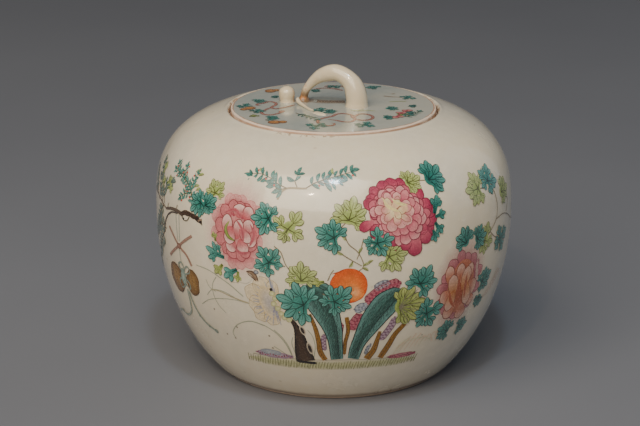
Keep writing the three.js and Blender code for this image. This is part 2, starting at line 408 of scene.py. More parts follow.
def lid_glaze():
    """Cooler glaze, with a band of bare clay round the edge between an iron line and a brown line low on
    the lid's side, which is partly an iron line and partly painted shade in the gap to the jar.
    """
    finish = Finish("lid_glaze", **GLASSY)
    height, radius = finish.height_and_radius()
    colour = lid_glaze_colour(finish)
    ragged = finish.noise(150, 4, 0.6) * 0.0016 - 0.0008
    edge = radius + ragged
    band = finish.ramp(edge, 0.0610, 0.0613)
    under = finish.ramp(height, 0.1596, 0.1588)
    bare = band.math("MAXIMUM", band, under)
    clay = finish.mix(finish.noise(300, 3), (0.70, 0.53, 0.41, 1), (0.80, 0.67, 0.55, 1))
    inner_line = finish.ramp(edge, 0.0605, 0.0609) * finish.ramp(edge, 0.0615, 0.0611)
    # Partly painted shade: a patchy brown line low on the lid's side, partly an iron line and partly the
    # shade in the gap to the jar.
    outer_line_and_gap_shade = finish.ramp(radius, 0.0612, 0.0617) * finish.ramp(height, 0.16025, 0.15985)
    patchy = finish.ramp(finish.noise(90, 4, 0.6), 0.30, 0.55)
    colour = finish.mix(bare, colour, clay)
    colour = finish.mix(inner_line * patchy, colour, (0.50, 0.22, 0.09, 1))
    colour = finish.mix(outer_line_and_gap_shade * patchy * 0.6, colour, (0.42, 0.18, 0.07, 1))
    finish.feed("Base Color", colour)
    ripple = finish.ripple()
    grit = finish.noise(1800, 2) * bare
    finish.bump(ripple + grit * 0.5, 0.00022, 0.6)
    finish.feed("Roughness", bare * 0.5 + 0.18)
    finish.feed("Coat Weight", COAT_OF_GLASS - bare * COAT_OF_GLASS)
    return finish.material


def stem_glaze(root):
    """Ivory glaze, stained brown where the stem leaves its root."""
    finish = Finish("stem_glaze", IOR=1.5, Coat_Weight=COAT_OF_GLASS, Coat_Roughness=0.07)
    colour = glaze_colour(finish, IVORY, IVORY_DEEP, (0.78, 0.70, 0.54, 1))
    away = finish.distance_from(root)
    ragged = finish.noise(260, 4, 0.65)
    stain = finish.ramp(away + ragged * 0.006, 0.0135, 0.0075)
    colour = finish.mix(stain * 0.95, colour, GRIME)
    spot = finish.ramp(away, 0.016, 0.007) * finish.ramp(ragged, 0.52, 0.62)
    colour = finish.mix(spot * 0.7, colour, (0.60, 0.24, 0.08, 1))
    finish.feed("Base Color", colour)
    ripple = finish.noise(140, 1) * 0.6 + finish.noise(480, 2) * 0.25
    finish.bump(ripple, 0.00025, 0.6)
    finish.feed("Roughness", stain * 0.35 + 0.2)
    return finish.material


def biscuit():
    """Unglazed clay with a few iron specks."""
    finish = Finish("biscuit", IOR=1.45)
    colour = finish.mix(finish.noise(260, 4), BISCUIT, (0.74, 0.60, 0.47, 1))
    colour = finish.mix(finish.specks(220, 0.12, 0.2) * 0.6, colour, IRON)
    finish.feed("Base Color", colour)
    finish.bump(finish.noise(1500, 3), 0.00012, 0.7)
    finish.feed("Roughness", finish.noise(90, 2) * 0.15 + 0.65)
    return finish.material


# ---- The jar's body ----

def jar_body():
    """The jar as one thrown wall, inside and out, with its foot ring and the ledge for the lid."""
    foot_inner = FOOT_RADIUS - FOOT_RING_WIDTH
    outer = wall.evenly(1.6)
    corner = 1.2
    outline = [(0, FOOT_RECESS)]
    outline += [(radius, FOOT_RECESS) for radius in (20, 40, foot_inner - 3.2)]
    outline += [(foot_inner - 1.2, FOOT_RECESS - 0.8), (foot_inner - 0.2, FOOT_RECESS - 2)]
    outline += arc((foot_inner + corner, corner), corner, 190, 270, 5)
    outline += arc((FOOT_RADIUS - GLAZE_SKIN - corner, corner), corner, 270, 345, 5)
    outline += [point for point in outer[2:] if point[0] > MOUTH_RADIUS + 1.6 or point[1] < BELLY_HEIGHT]
    outline += arc((MOUTH_RADIUS + 1.7, MOUTH_HEIGHT - 1.9), 1.7, 80, 180, 6)
    outline += [(MOUTH_RADIUS, LEDGE_TOP + 0.8), (MOUTH_RADIUS - 0.8, LEDGE_TOP)]
    outline += arc((THROAT_RADIUS + 1, LEDGE_TOP - 1), 1, 90, 180, 5)
    outline += arc((THROAT_RADIUS + 1, LEDGE_TOP - LEDGE_THICKNESS + 1), 1, 180, 270, 5)
    outline += [(MOUTH_RADIUS + 3, LEDGE_TOP - LEDGE_THICKNESS)]
    inner = []
    for (r0, z0), (r1, z1) in zip(outer[:-1:3], outer[1::3]):
        span = math.hypot(r1 - r0, z1 - z0)
        radius = r0 - WALL * (z1 - z0) / span
        height = z0 + WALL * (r1 - r0) / span
        near_mouth = height > BELLY_HEIGHT and radius < MOUTH_RADIUS + 12
        if FLOOR_HEIGHT + WALL / 2 < height < LEDGE_TOP - LEDGE_THICKNESS and not near_mouth:
            inner.append((radius, height))
    outline += inner[::-1]
    outline += arc((inner[0][0] - 4, FLOOR_HEIGHT + 3), 3, -20, -90, 5)
    outline += [(40, FLOOR_HEIGHT), (20, FLOOR_HEIGHT), (0, FLOOR_HEIGHT)]
    piece = thrown("porcelain_body", outline)
    for vertex in piece.data.vertices:
        x, y, z = (c / MM for c in vertex.co)
        radius = math.hypot(x, y)
        if radius > MOUTH_RADIUS + 0.5:
            depth = groove(math.atan2(x, -y), z)
            vertex.co.x *= 1 - depth / radius
            vertex.co.y *= 1 - depth / radius
    finish_mesh(piece)
    return own(piece, "jar", "body_glaze", body_glaze(), "jar_body")


# ---- The lid ----

def lid_height(radius):
    """The crowned top of the lid at a distance from its middle."""
    return LID_CROWN_TOP - LID_CROWN * (radius / LID_RADIUS) ** 2


def lid_plate():
    corner = 1.1
    edge = LID_RADIUS - corner
    outline = [(0, LID_UNDERSIDE), (30, LID_UNDERSIDE), (edge - 0.2, LID_UNDERSIDE)]
    outline += arc((edge, LID_UNDERSIDE + corner), corner, 275, 360, 5)
    outline += arc((edge, lid_height(edge) - corner), corner, 0, 88, 7)
    outline += [(radius, lid_height(radius)) for radius in np.linspace(edge - 0.6, 0, 34)]
    piece = thrown("porcelain_lid", outline)
    finish_mesh(piece)
    return own(piece, "lid", "lid_glaze", lid_glaze(), "lid_plate")


def lid_flange(clay):
    inner = FLANGE_RADIUS - FLANGE_WIDTH
    top = LID_UNDERSIDE - 0.02
    outline = [(inner - 0.8, top)]
    outline += arc((inner + 1, FLANGE_BOTTOM + 1), 1, 180, 270, 5)
    outline += arc((FLANGE_RADIUS - 1.2, FLANGE_BOTTOM + 1.2), 1.2, 270, 360, 5)
    outline += [(FLANGE_RADIUS, top - 1), (FLANGE_RADIUS, top), (inner - 0.8, top)]
    piece = thrown("luted_flange", outline, 144)
    finish_mesh(piece)
    return own(piece, "lid", "biscuit", clay, "lid_flange")


# ---- Stems ----

HANDLE_ROOT = Vector((-18.4, 11, 0))
HANDLE_LANDING = Vector((14, -3.5, 0))
HANDLE_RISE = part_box("stem_handle")[1].z / MM - LID_EDGE_TOP
HANDLE_ROOT_RADIUS = 2.4
HANDLE_TOP_RADIUS = 5.05
HANDLE_LANDING_RADIUS = 6.5
HANDLE_SHAPE = [(0, -0.15), (0.02, 0.22), (0.09, 0.48), (0.35, 0.87), (0.65, 1), (0.91, 0.73), (1, 0.3),
                (1, -0.15)]


def stem(name, path, radii, uneven=0.12, around=28):
    """A round stem of changing thickness along a path, with a slightly uneven skin."""
    curve = bpy.data.curves.new(name, "CURVE")
    curve.dimensions = "3D"
    curve.bevel_depth = MM
    curve.bevel_resolution = around // 4
    curve.use_fill_caps = True
    spline = curve.splines.new("POLY")
    spline.points.add(len(path) - 1)
    for point, place, radius in zip(spline.points, path, radii):
        point.co = (place[0] * MM, place[1] * MM, place[2] * MM, 1)
        point.radius = radius
    piece = bpy.data.objects.new(name, curve)
    bpy.context.scene.collection.objects.link(piece)
    select_only(piece)
    bpy.ops.object.convert(target="MESH")
    noise.seed_set(1)  # otherwise the clock sets it, and each run differs
    for vertex in piece.data.vertices:
        vertex.co += noise.noise_vector(vertex.co * 130) * uneven * MM
    finish_mesh(piece, 60)
    return piece


def handle():
    """The vine stem that loops up from its root, thickens and lands on the lid."""
    root = HANDLE_ROOT + Vector((0, 0, LID_EDGE_TOP))
    landing = HANDLE_LANDING + Vector((0, 0, LID_EDGE_TOP))
    axis_rise = HANDLE_RISE - HANDLE_TOP_RADIUS - 0.15
    points = [root.lerp(landing, share) + Vector((0, 0, axis_rise * rise)) for share, rise in HANDLE_SHAPE]
    path = smooth_path(points, 0.9)
    share = np.linspace(0, 1, len(path))
    radii = HANDLE_ROOT_RADIUS + smooth(0.15, 0.5, share) * (HANDLE_TOP_RADIUS - HANDLE_ROOT_RADIUS)
    radii += smooth(0.6, 0.85, share) * (HANDLE_LANDING_RADIUS - HANDLE_TOP_RADIUS)
    above = path[:, 2] - LID_CROWN_TOP
    radii += (0.6 + 0.9 * smooth(0.3, 0.1, share)) * smooth(2.6, 0, above)
    keep = above > -2.2
    piece = stem("vine_handle", path[keep], radii[keep])
    return own(piece, "lid", "stem_glaze", stem_glaze(root * MM), "stem_handle")


STUB_LEAN = 0.7
STUB_WAIST = 0.84  # its radius at the lid, as a share of the widest
STUB_ROUND_FROM = 0.58  # the share of its height where the top starts to close
STUB_ROUNDING = 2.4
STUB_TOP_SHARE = 0.30


def stub(finish):
    """The cut end of the stem, a knob that is a little narrower at the lid."""
    low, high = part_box("stem_stub")
    x = (low.x + high.x) / 2 / MM
    y = (low.y + high.y) / 2 / MM
    top = high.z / MM - 0.15
    radius = (high.y - low.y) / 2 / MM - 0.1
    bottom = LID_CROWN_TOP - 1.2
    rise = top - bottom
    share = np.concatenate([np.linspace(0, 0.5, 9), np.linspace(0.54, 1, 16)])
    path = [(x - STUB_LEAN * (s - 0.5), y, bottom + rise * s) for s in share]
    over = np.clip((share - STUB_ROUND_FROM) / (1 - STUB_ROUND_FROM), 0, 1)
    closing = np.maximum(STUB_TOP_SHARE, np.sqrt(np.maximum(0, 1 - over ** STUB_ROUNDING)))
    radii = radius * (STUB_WAIST + (1 - STUB_WAIST) * smooth(0.1, 0.55, share)) * closing
    radii += 0.5 * smooth(0.22, 0.05, share)
    piece = stem("cut_stub", path, radii, 0.22)
    return own(piece, "lid", "stem_glaze", finish, "stem_stub")


TENDRIL_START = Vector((-21.9, 4, LID_CROWN_TOP))
TENDRIL_STEPS = [(0, 0, 2.9), (0.8, -3.5, 1.6), (4.6, -11.4, 0.7), (7.7, -17.5, 0.5), (9.8, -20, 0.3)]


def tendril(finish):
    """A thin strand that comes off the root and thins as it crosses the lid."""
    path = smooth_path([TENDRIL_START + Vector(step) for step in TENDRIL_STEPS], 0.7)
    share = np.linspace(0, 1, len(path))
    radii = 1.35 - 0.7 * share
    radii[:3] *= (0.55, 0.85, 0.97)
    piece = stem("curled_tendril", path, radii, 0.08, 20)
    return own(piece, "lid", "stem_glaze", finish, "tendril")


def relief_leaf(finish):
    """A low pressed leaf: three soft lobes that swell from the lid and die away at their edges."""
    low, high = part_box("tendril_leaf")
    start = Vector((low.x / MM + 0.4, high.y / MM - 1.6))
    end = Vector((high.x / MM - 0.6, low.y / MM + 0.6))
    along = (end - start).normalized()
    across = Vector((-along.y, along.x))
    length = (end - start).length
    rows, columns = 26, 15
    points = []
    for i in range(rows):
        u = i / (rows - 1)
        lobes = 0.72 + 0.28 * abs(math.cos(u * math.pi * 1.5))
        half = 3.1 * math.sin(math.pi * min(1, u * 0.94 + 0.05)) ** 0.7 * lobes
        for j in range(columns):
            v = 2 * j / (columns - 1) - 1
            spot = start + along * (length * u) + across * (half * v)
            swell = (1 - v * v) ** 0.8 * math.sin(math.pi * min(1, max(0, u))) ** 0.5
            vein = 0.25 * math.exp(-(v * 6) ** 2)
            height = lid_height(spot.length) - 0.06 + 1.0 * swell - vein * swell
            points.append((spot.x, spot.y, height))
    faces = []
    for i in range(rows - 1):
        for j in range(columns - 1):
            a = i * columns + j
            faces.append((a, a + 1, a + columns + 1, a + columns))
    piece = piece_from("relief_leaf", points, faces)
    select_only(piece)
    bpy.ops.object.mode_set(mode="EDIT")
    bpy.ops.mesh.select_all(action="SELECT")
    bpy.ops.mesh.extrude_region_move(TRANSFORM_OT_translate={"value": (0, 0, -0.4 * MM)})
    bpy.ops.object.mode_set(mode="OBJECT")
    finish_mesh(piece, 60)
    return own(piece, "lid", "stem_glaze", finish, "tendril_leaf")


# ---- Enamel painting ----
# A place on the wall is (degrees round from the front, millimetres up the wall from the foot).
# A place on the lid is (x, y) in millimetres. Sizes and steps are in millimetres on both.

DEGREE = math.radians(1) * BELLY_RADIUS  # millimetres round the belly in one degree
FILM = 0.03  # how far the lowest film stands off the glaze
LEVEL = 0.065  # from one layer of the painting to the next
COAT = 0.0014  # from one film to the next in a layer

TEAL = {"light": (0.19, 0.45, 0.39), "mid": (0.065, 0.28, 0.225), "dark": (0.022, 0.155, 0.125),
        "line": (0.003, 0.032, 0.022)}
PALE_TEAL = {"light": (0.12, 0.36, 0.31), "mid": (0.03, 0.20, 0.165), "dark": (0.012, 0.11, 0.09),
             "line": (0.003, 0.03, 0.024)}
MOSS = {"light": (0.52, 0.55, 0.20), "mid": (0.36, 0.43, 0.11), "dark": (0.22, 0.29, 0.05),
        "line": (0.06, 0.055, 0.01)}
SPRING = {"light": (0.58, 0.62, 0.28), "mid": (0.42, 0.50, 0.17), "dark": (0.27, 0.35, 0.09),
          "line": (0.075, 0.075, 0.018)}
ROSE = {"pale": (0.80, 0.53, 0.47), "blush": (0.58, 0.185, 0.19), "deep": (0.37, 0.055, 0.08),
        "line": (0.16, 0.012, 0.02)}
MAGENTA = {"pale": (0.72, 0.33, 0.33), "blush": (0.60, 0.15, 0.19), "deep": (0.36, 0.035, 0.085),
           "line": (0.14, 0.008, 0.03)}
PINK = {"pale": (0.78, 0.50, 0.44), "blush": (0.68, 0.27, 0.27), "deep": (0.52, 0.10, 0.14),
        "line": (0.22, 0.02, 0.045)}
HEART = {"pale": (0.80, 0.67, 0.38), "blush": (0.78, 0.50, 0.30), "deep": (0.66, 0.26, 0.19),
         "line": (0.27, 0.07, 0.045)}
RUSSET = {"pale": (0.68, 0.41, 0.31), "blush": (0.52, 0.17, 0.09), "deep": (0.36, 0.06, 0.012),
          "line": (0.17, 0.02, 0.012)}
PLUM = {"pale": (0.50, 0.22, 0.22), "blush": (0.38, 0.09, 0.10), "deep": (0.20, 0.022, 0.035),
        "line": (0.12, 0.012, 0.022)}
PEACH = {"pale": (0.83, 0.40, 0.17), "blush": (0.80, 0.21, 0.03), "deep": (0.66, 0.085, 0.004)}
STONE = {"pale": (0.15, 0.32, 0.29), "mid": (0.06, 0.165, 0.14), "dark": (0.022, 0.065, 0.052),
         "line": (0.006, 0.018, 0.016)}
CORAL = {"pale": (0.55, 0.22, 0.24), "mid": (0.36, 0.06, 0.10), "line": (0.13, 0.01, 0.03)}
LILAC = {"pale": (0.52, 0.42, 0.46), "mid": (0.34, 0.19, 0.28), "line": (0.12, 0.05, 0.09)}
SLATE = {"pale": (0.46, 0.48, 0.50), "mid": (0.27, 0.29, 0.34), "line": (0.10, 0.11, 0.15)}
OCHRE = {"pale": (0.42, 0.21, 0.025), "mid": (0.25, 0.11, 0.008), "line": (0.045, 0.016, 0.002)}
BARK = {"pale": (0.085, 0.045, 0.022), "mid": (0.03, 0.014, 0.006), "line": (0.009, 0.004, 0.003),
        "worn": (0.12, 0.07, 0.04)}
IVORY_KNOT = (0.66, 0.56, 0.42)
LAVENDER = (0.13, 0.16, 0.32)
CREAM = {"pale": (0.70, 0.55, 0.31), "mid": (0.58, 0.40, 0.15), "line": (0.30, 0.20, 0.08)}
TURF = {"pale": (0.50, 0.50, 0.24), "mid": (0.40, 0.41, 0.17), "line": (0.11, 0.105, 0.03)}
TWIG = (0.13, 0.09, 0.03)
BLADE = (0.19, 0.25, 0.16)
BERRY = (0.60, 0.075, 0.04)


def on_wall(x, y, lift):
    """Points in millimetres on the wall, raised off it, and the outward directions."""
    angle = x / BELLY_RADIUS
    radius, height, out_radius, out_height = wall.at(y)
    radius = radius - groove(angle, height)
    sine, cosine = np.sin(angle), np.cos(angle)
    out = np.stack([out_radius * sine, -out_radius * cosine, out_height], axis=-1)
    place = np.stack([radius * sine, -radius * cosine, height], axis=-1)
    return place + out * lift, out


def on_lid(x, y, lift):
    """Points in millimetres on the lid, raised off it, and the outward directions."""
    height = lid_height(np.hypot(x, y))
    out = np.zeros(x.shape + (3,))
    out[..., 2] = 1
    return np.stack([x, y, height], axis=-1) + out * lift, out


def blended(first, last, share):
    """Colours between two colours, or two grids of colours."""
    share = np.asarray(share)[..., None]
    return np.asarray(first) * (1 - share) + np.asarray(last) * share


def even(width):
    """A stroke as wide all along, drawn in at its two ends."""
    return lambda u: width / 2 * np.minimum(1, np.minimum(u, 1 - u) * 9 + 0.25)


def drawn_out(start, end):
    """A stroke that starts one width and ends another."""
    return lambda u: (start + (end - start) * u) / 2


def leafy(width, fullest=0.55):
    """A stroke that swells and closes again, as a leaf does."""
    power = math.log(0.5) / math.log(fullest)
    return lambda u: width / 2 * np.sin(math.pi * np.clip(u, 0, 1) ** power) ** 0.72


class Painting:
    """Films of enamel, each laid over the one before, gathered into one piece."""

    def __init__(self, surface, seed):
        self.surface = surface
        self.scale = np.array([DEGREE, 1.0]) if surface is on_wall else np.array([1.0, 1.0])
        self.random = random.Random(seed)
        self.points = []
        self.faces = []
        self.colours = []
        self.total = 0
        self.level(0)

    def level(self, number):
        """Goes to a layer of the painting, above all the films of the layers under it."""
        self.ground = FILM + LEVEL * number
        self.highest = self.ground + LEVEL * 0.92
        return self.again()

    def again(self, coats=0):
        """Starts over at the lowest film of this layer, or a few films above it."""
        self.lift = self.ground + COAT * coats
        return self

    def vary(self, amount):
        """A small random change, the same in every run."""
        return self.random.uniform(-amount, amount)

    def spot(self, place):
        """A place as millimetres in the plane of the painting."""
        return np.asarray(place, float) * self.scale

    def spots(self, places):
        return [self.spot(place) for place in places]

    def lay(self, x, y, colour, cover=1.0):
        """Lays one film over a grid of plane points."""
        self.lift = min(self.lift + COAT, self.highest)
        place, out = self.surface(x, y, self.lift)
        rows, columns = x.shape
        first = np.arange(rows - 1)[:, None] * columns + np.arange(columns - 1)[None, :] + self.total
        corners = [first, first + 1, first + columns + 1, first + columns]
        faces = np.stack(corners, axis=-1).reshape(-1, 4)
        area = np.cross(place[1:, :-1] - place[:-1, :-1], place[:-1, 1:] - place[:-1, :-1])
        if (area * out[:-1, :-1]).sum() > 0:
            faces = faces[:, ::-1]
        paint = np.ones((rows, columns, 4))
        paint[..., :3] = colour
        paint[..., 3] = cover
        self.points.append(place.reshape(-1, 3))
        self.faces.append(faces)
        self.colours.append(paint.reshape(-1, 4))
        self.total += rows * columns

    def stroke(self, route, half_width, colour, last=None, edge=None, across=3, step=1.2, cover=1.0,
               fade=0.0, on=None):
        """A brush stroke along plane points. It may change colour along its way and to its edges.
        Where it lies on other paint, on is that paint's colour, and a thin mark lets it through."""
        path = smooth_path(route, step)
        along = np.gradient(path, axis=0)
        along /= np.maximum(1e-9, np.linalg.norm(along, axis=1))[:, None]
        side = np.stack([-along[:, 1], along[:, 0]], axis=1)
        u = np.linspace(0, 1, len(path))
        v = np.linspace(-1, 1, across)
        half = np.broadcast_to(half_width(u), u.shape)
        x = path[:, :1] + side[:, :1] * half[:, None] * v
        y = path[:, 1:] + side[:, 1:] * half[:, None] * v
        grid = np.broadcast_to(u[:, None], x.shape)
        tint = blended(colour, colour if last is None else last, grid)
        rim = np.broadcast_to(np.abs(v)[None, :] ** 1.6, x.shape)
        if edge is not None:
            tint = blended(tint, edge, rim * 0.85)
        film = cover * (1 - fade * rim)
        if on is not None:
            tint, film = blended(on, tint, film), 1.0
        self.lay(x, y, tint, film)
        return path, side, half

    def line(self, route, width, colour, cover=1.0, on=None):
        """A thin outline or vein."""
        self.stroke(route, even(width), colour, step=1.0, cover=cover, on=on)

    def rims(self, path, side, half, every, width, colour, cover=1.0, on=None):
        """Outlines along both sides of a stroke."""
        for sign in (-1, 1):
            self.line((path + side * half[:, None] * sign)[::every], width, colour, cover, on)

    def tick(self, spot, angle, reach, width, colour, cover, on):
        """A short straight mark across a plane point."""
        mark = heading(angle) * reach
        self.stroke([spot - mark, spot, spot + mark], even(width), colour, cover=cover, on=on)

    def blob(self, centre, radii, turn, inner, outer, waves=0, depth=0.0, around=36, rings=5, cover=1.0,
             fade=0.0, lean=(0, 0), on=None):
        """A round patch: one colour at its heart, another at its rim, with a scalloped edge."""
        psi = np.linspace(0, 2 * math.pi, around + 1)
        t = np.linspace(0, 1, rings + 1)[:, None]
        reach = 1 + depth * (np.abs(np.sin(waves * psi / 2)) - 0.6) if waves else np.ones_like(psi)
        a = radii[0] * reach * np.cos(psi) * t
        b = radii[1] * reach * np.sin(psi) * t
        a = a + lean[0] * (1 - t)
        b = b + lean[1] * (1 - t)
        c, s = math.cos(math.radians(turn)), math.sin(math.radians(turn))
        tint = blended(inner, outer, np.broadcast_to(t ** 1.5, a.shape))
        film = cover * (1 - fade * np.broadcast_to(t ** 2, a.shape))
        if on is not None:
            tint, film = blended(on, tint, film), 1.0
        x = centre[0] + a * c - b * s
        y = centre[1] + a * s + b * c
        self.lay(x, y, tint, film)
        return np.stack([x[-1], y[-1]], axis=1)

    def dot(self, place, size, colour, cover=1.0):
        self.blob(self.spot(place), (size / 2, size / 2), 0, colour, colour, around=10, rings=1,
                  cover=cover)

    def petal(self, base, angle, length, width, tones, ruffle=3, line=0.42):
        """One petal from its base outwards, shaded along its length, with a drawn edge."""
        psi = np.linspace(0, 2 * math.pi, 31)
        t = np.linspace(0, 1, 5)[:, None]
        scallop = 0.07 * np.abs(np.sin(psi * ruffle)) * (np.cos(psi) > -0.2)
        a = length / 2 * np.cos(psi) * (1 - scallop) * t
        b = width / 2 * np.sin(psi) * (0.80 + 0.20 * np.cos(psi)) * (1 - scallop * 0.6) * t
        c, s = math.cos(math.radians(angle)), math.sin(math.radians(angle))
        middle = (base[0] + c * length / 2, base[1] + s * length / 2)
        along = np.clip(0.5 + a / length, 0, 1)
        tint = blended(tones["deep"], tones["blush"], smooth(0, 0.45, along))
        tint = blended(tint, tones["pale"], smooth(0.3, 0.95, along))
        x = middle[0] + a * c - b * s
        y = middle[1] + a * s + b * c
        self.lay(x, y, tint)
        keep = np.cos(psi[:-1]) > -0.55
        start = int(np.argmax(~keep))
        order = (np.arange(len(psi) - 1) + start) % (len(psi) - 1)
        order = [i for i in order if keep[i]]
        rim = np.stack([x[-1][order], y[-1][order]], axis=1)
        self.line(rim[::2], line, tones["line"], 0.85, on=tones["blush"])

    def piece(self, name):
        """Makes one piece of all the films, on the wall or on the lid."""
        mesh = bpy.data.meshes.new(name)
        points = np.concatenate(self.points) * MM
        faces = np.concatenate(self.faces)
        mesh.from_pydata(points.tolist(), [], faces.tolist())
        paint = mesh.color_attributes.new("paint", "FLOAT_COLOR", "POINT")
        paint.data.foreach_set("color", np.concatenate(self.colours).ravel())
        piece = bpy.data.objects.new(name, mesh)
        bpy.context.scene.collection.objects.link(piece)
        select_only(piece)
        bpy.ops.object.mode_set(mode="EDIT")
        bpy.ops.mesh.select_all(action="SELECT")
        bpy.ops.mesh.remove_doubles(threshold=2e-7)
        bpy.ops.object.mode_set(mode="OBJECT")
        bpy.ops.object.shade_smooth()
        if self.surface is on_wall:
            return own(piece, "jar", "body_glaze", wall_enamel)
        return own(piece, "lid", "lid_glaze", lid_enamel)


def enamel(name, ground):
    """Glossy coloured glass over the glaze. Where the film is thin, the glaze shows through."""
    finish = Finish(name, **GLASSY)
    attribute = finish.node("ShaderNodeVertexColor", {"layer_name": "paint"})
    cover = Signal(finish, attribute.socket.node.outputs["Alpha"])
    streaks = finish.ramp(finish.noise(900, 3, 0.6), 0.25, 0.75)
    pools = finish.ramp(finish.noise(260, 2), 0.3, 0.7)
    strength = streaks * 0.22 + pools * 0.16 + 0.80
    shade = finish.node("ShaderNodeCombineColor", None, {0: strength, 1: strength, 2: strength})
    dark = finish.mix(1.0, attribute, shade, "MULTIPLY")
    thin = finish.ramp(finish.noise(700, 3, 0.65), 0.62, 0.85)
    film = cover * (1.0 - thin * 0.3)
    finish.feed("Base Color", finish.mix(film, ground(finish), dark))
    ripple = finish.ripple()
    finish.bump(ripple + streaks * 0.12, 0.00022, 0.6)
    finish.feed("Roughness", streaks * 0.10 + 0.20)
    return finish.material


# ---- Brush work that repeats: leaves, flowers, twigs ----

def heading(angle):
    """One millimetre in a direction, in degrees."""
    return np.array([math.cos(math.radians(angle)), math.sin(math.radians(angle))])


def leaf_lobe(p, joint, angle, length, width, tones):
    """One lobe of a leaf: a soft fill that ends in three ovals, each with its outline and vein."""
    bend = p.vary(9)
    neck = joint + heading(angle + bend) * length * 0.36
    palm = [joint, (joint + neck) / 2, neck + (neck - joint) * 0.5]
    p.stroke(palm, drawn_out(width * 0.34, width * 0.62), tones["dark"], tones["mid"])
    for turn, reach, share in ((-27, 0.82, 0.50), (27, 0.82, 0.50), (0, 1.0, 0.56)):
        tip = joint + heading(angle + turn) * length * reach
        middle = (neck + tip) / 2 + heading(angle + turn + 90) * p.vary(0.25)
        shape = leafy(width * share, 0.58)
        path, side, half = p.stroke([neck, middle, tip], shape, tones["mid"], tones["light"], tones["dark"],
                                    5, 0.9)
        for sign in (-1, 1):
            rim = path + side * half[:, None] * sign
            p.stroke(rim[1:], even(0.42), tones["line"], step=1.5, cover=0.92, on=tones["mid"])
        p.stroke([neck, middle, (middle + tip * 2) / 3], drawn_out(0.46, 0.24), tones["line"], cover=0.9,
                 on=tones["mid"])
    p.stroke([joint, neck], drawn_out(0.8, 0.5), tones["line"], cover=0.95, on=tones["mid"])


def leaf(p, place, turn, size, tones, spread=105, lobes=5, slim=0.58):
    """A leaf of several lobes that meet at one joint, the middle one the longest."""
    joint = p.again().spot(place)
    heart = joint + heading(turn) * size * 0.12
    p.blob(heart, (size * 0.28, size * 0.28), turn, tones["dark"], tones["mid"], rings=3)
    middle = (lobes - 1) / 2
    order = sorted(range(lobes), key=lambda i: -abs(i - middle))
    for number, i in enumerate(order):
        p.again(1 + 5 * number)
        off = i - middle
        length = size * (1 - abs(off) / middle * 0.24) * (1 + p.vary(0.07))
        angle = turn + spread * off / middle + p.vary(6)
        leaf_lobe(p, joint, angle, length, length * slim, tones)


def little_leaf(p, place, angle, length, tones, cover=0.95):
    """A small oval leaf of a sprig, with one vein."""
    start = p.again(2 + 4 * (len(p.points) // 4 % 3)).spot(place)
    tip = start + heading(angle) * length
    bend = start + heading(angle + 12) * length * 0.5
    p.stroke([start, bend, tip], leafy(length * 0.42), tones["mid"], tones["light"], tones["dark"], 3, 0.9,
             cover)
    p.stroke([start, bend, tip], drawn_out(0.5, 0.3), tones["line"], step=1.5, cover=0.85, on=tones["mid"])
    rim = bend + heading(angle - 78) * length * 0.19
    p.stroke([start, rim, tip], drawn_out(0.4, 0.3), tones["line"], step=1.5, cover=0.7, on=tones["mid"])


def twig(p, route, start, end, colour=TWIG, cover=1.0, shadow=None):
    """A stem along places, thinning from its start to its end."""
    points = p.spots(route)
    p.stroke(points, drawn_out(start, end), colour, edge=shadow, across=5 if start > 1.4 else 3,
             cover=cover)


FAN = 52  # degrees between a sprig's stem and its leaves


def sprig(p, route, tones, length=4.6, gap=2.6, width=0.6, berries=None):
    """A stem with small leaves in pairs, and berries between them."""
    twig(p, route, width, width * 0.5)
    path = smooth_path(p.spots(route), gap)
    along = np.gradient(path, axis=0)
    for i in range(1, len(path)):
        forward = math.degrees(math.atan2(along[i][1], along[i][0]))
        place = path[i] / p.scale
        for sign in (-1, 1):
            reach = length * (1 + p.vary(0.22)) * (1 - 0.3 * i / len(path))
            little_leaf(p, place, forward + sign * (FAN + p.vary(14)), reach, tones)
        if berries and i % 2 == 0:
            step = heading(forward + p.random.choice((-80, 80))) * (2.2 + p.vary(0.8))
            p.dot((path[i] + step) / p.scale, 1.25, berries)
    forward = math.degrees(math.atan2(along[-1][1], along[-1][0]))
    little_leaf(p, path[-1] / p.scale, forward, length, tones)


def petal_ring(p, centre, radii, turn, reach, count, length, width, tones, phase=0, start=0, end=360,
               **how):
    """Petals round an ellipse, each pointing away from its middle."""
    c, s = math.cos(math.radians(turn)), math.sin(math.radians(turn))
    for i in range(count):
        angle = math.radians(start + (end - start) * (i + 0.5) / count + phase + p.vary(4))
        a = radii[0] * reach * math.cos(angle)
        b = radii[1] * reach * math.sin(angle)
        base = (centre[0] + a * c - b * s, centre[1] + a * s + b * c)
        far = (radii[0] * math.cos(angle), radii[1] * math.sin(angle))
        away = math.degrees(math.atan2(far[0] * s + far[1] * c, far[0] * c - far[1] * s))
        size = 1 + p.vary(0.17)
        p.petal(base, away + p.vary(11), length * size, width * (1 + p.vary(0.17)), tones, **how)


def petals(p, shapes, back, tones, ruffle, line):
    """Petals set one by one, each starting a share of its length behind its place."""
    for place, angle, length, width in shapes:
        base = p.spot(place) - heading(angle) * length * back
        p.petal(base, angle, length, width, tones, ruffle, line)


def hatch(p, route, width, colour, gap, lean, cover, thickness):
    """Short slanting brush marks across a band."""
    path = smooth_path(p.spots(route), gap)
    along = np.gradient(path, axis=0)
    for point, step in zip(path, along):
        forward = math.degrees(math.atan2(step[1], step[0]))
        reach = heading(forward + lean + p.vary(5)) * width / 2 * (1 + p.vary(0.15))
        middle = point + heading(forward + 90) * p.vary(width * 0.08)
        p.stroke([middle - reach, middle, middle + reach], even(thickness), colour, cover=cover,
                 on=TURF["pale"])


# ---- The painted garden on the front ----

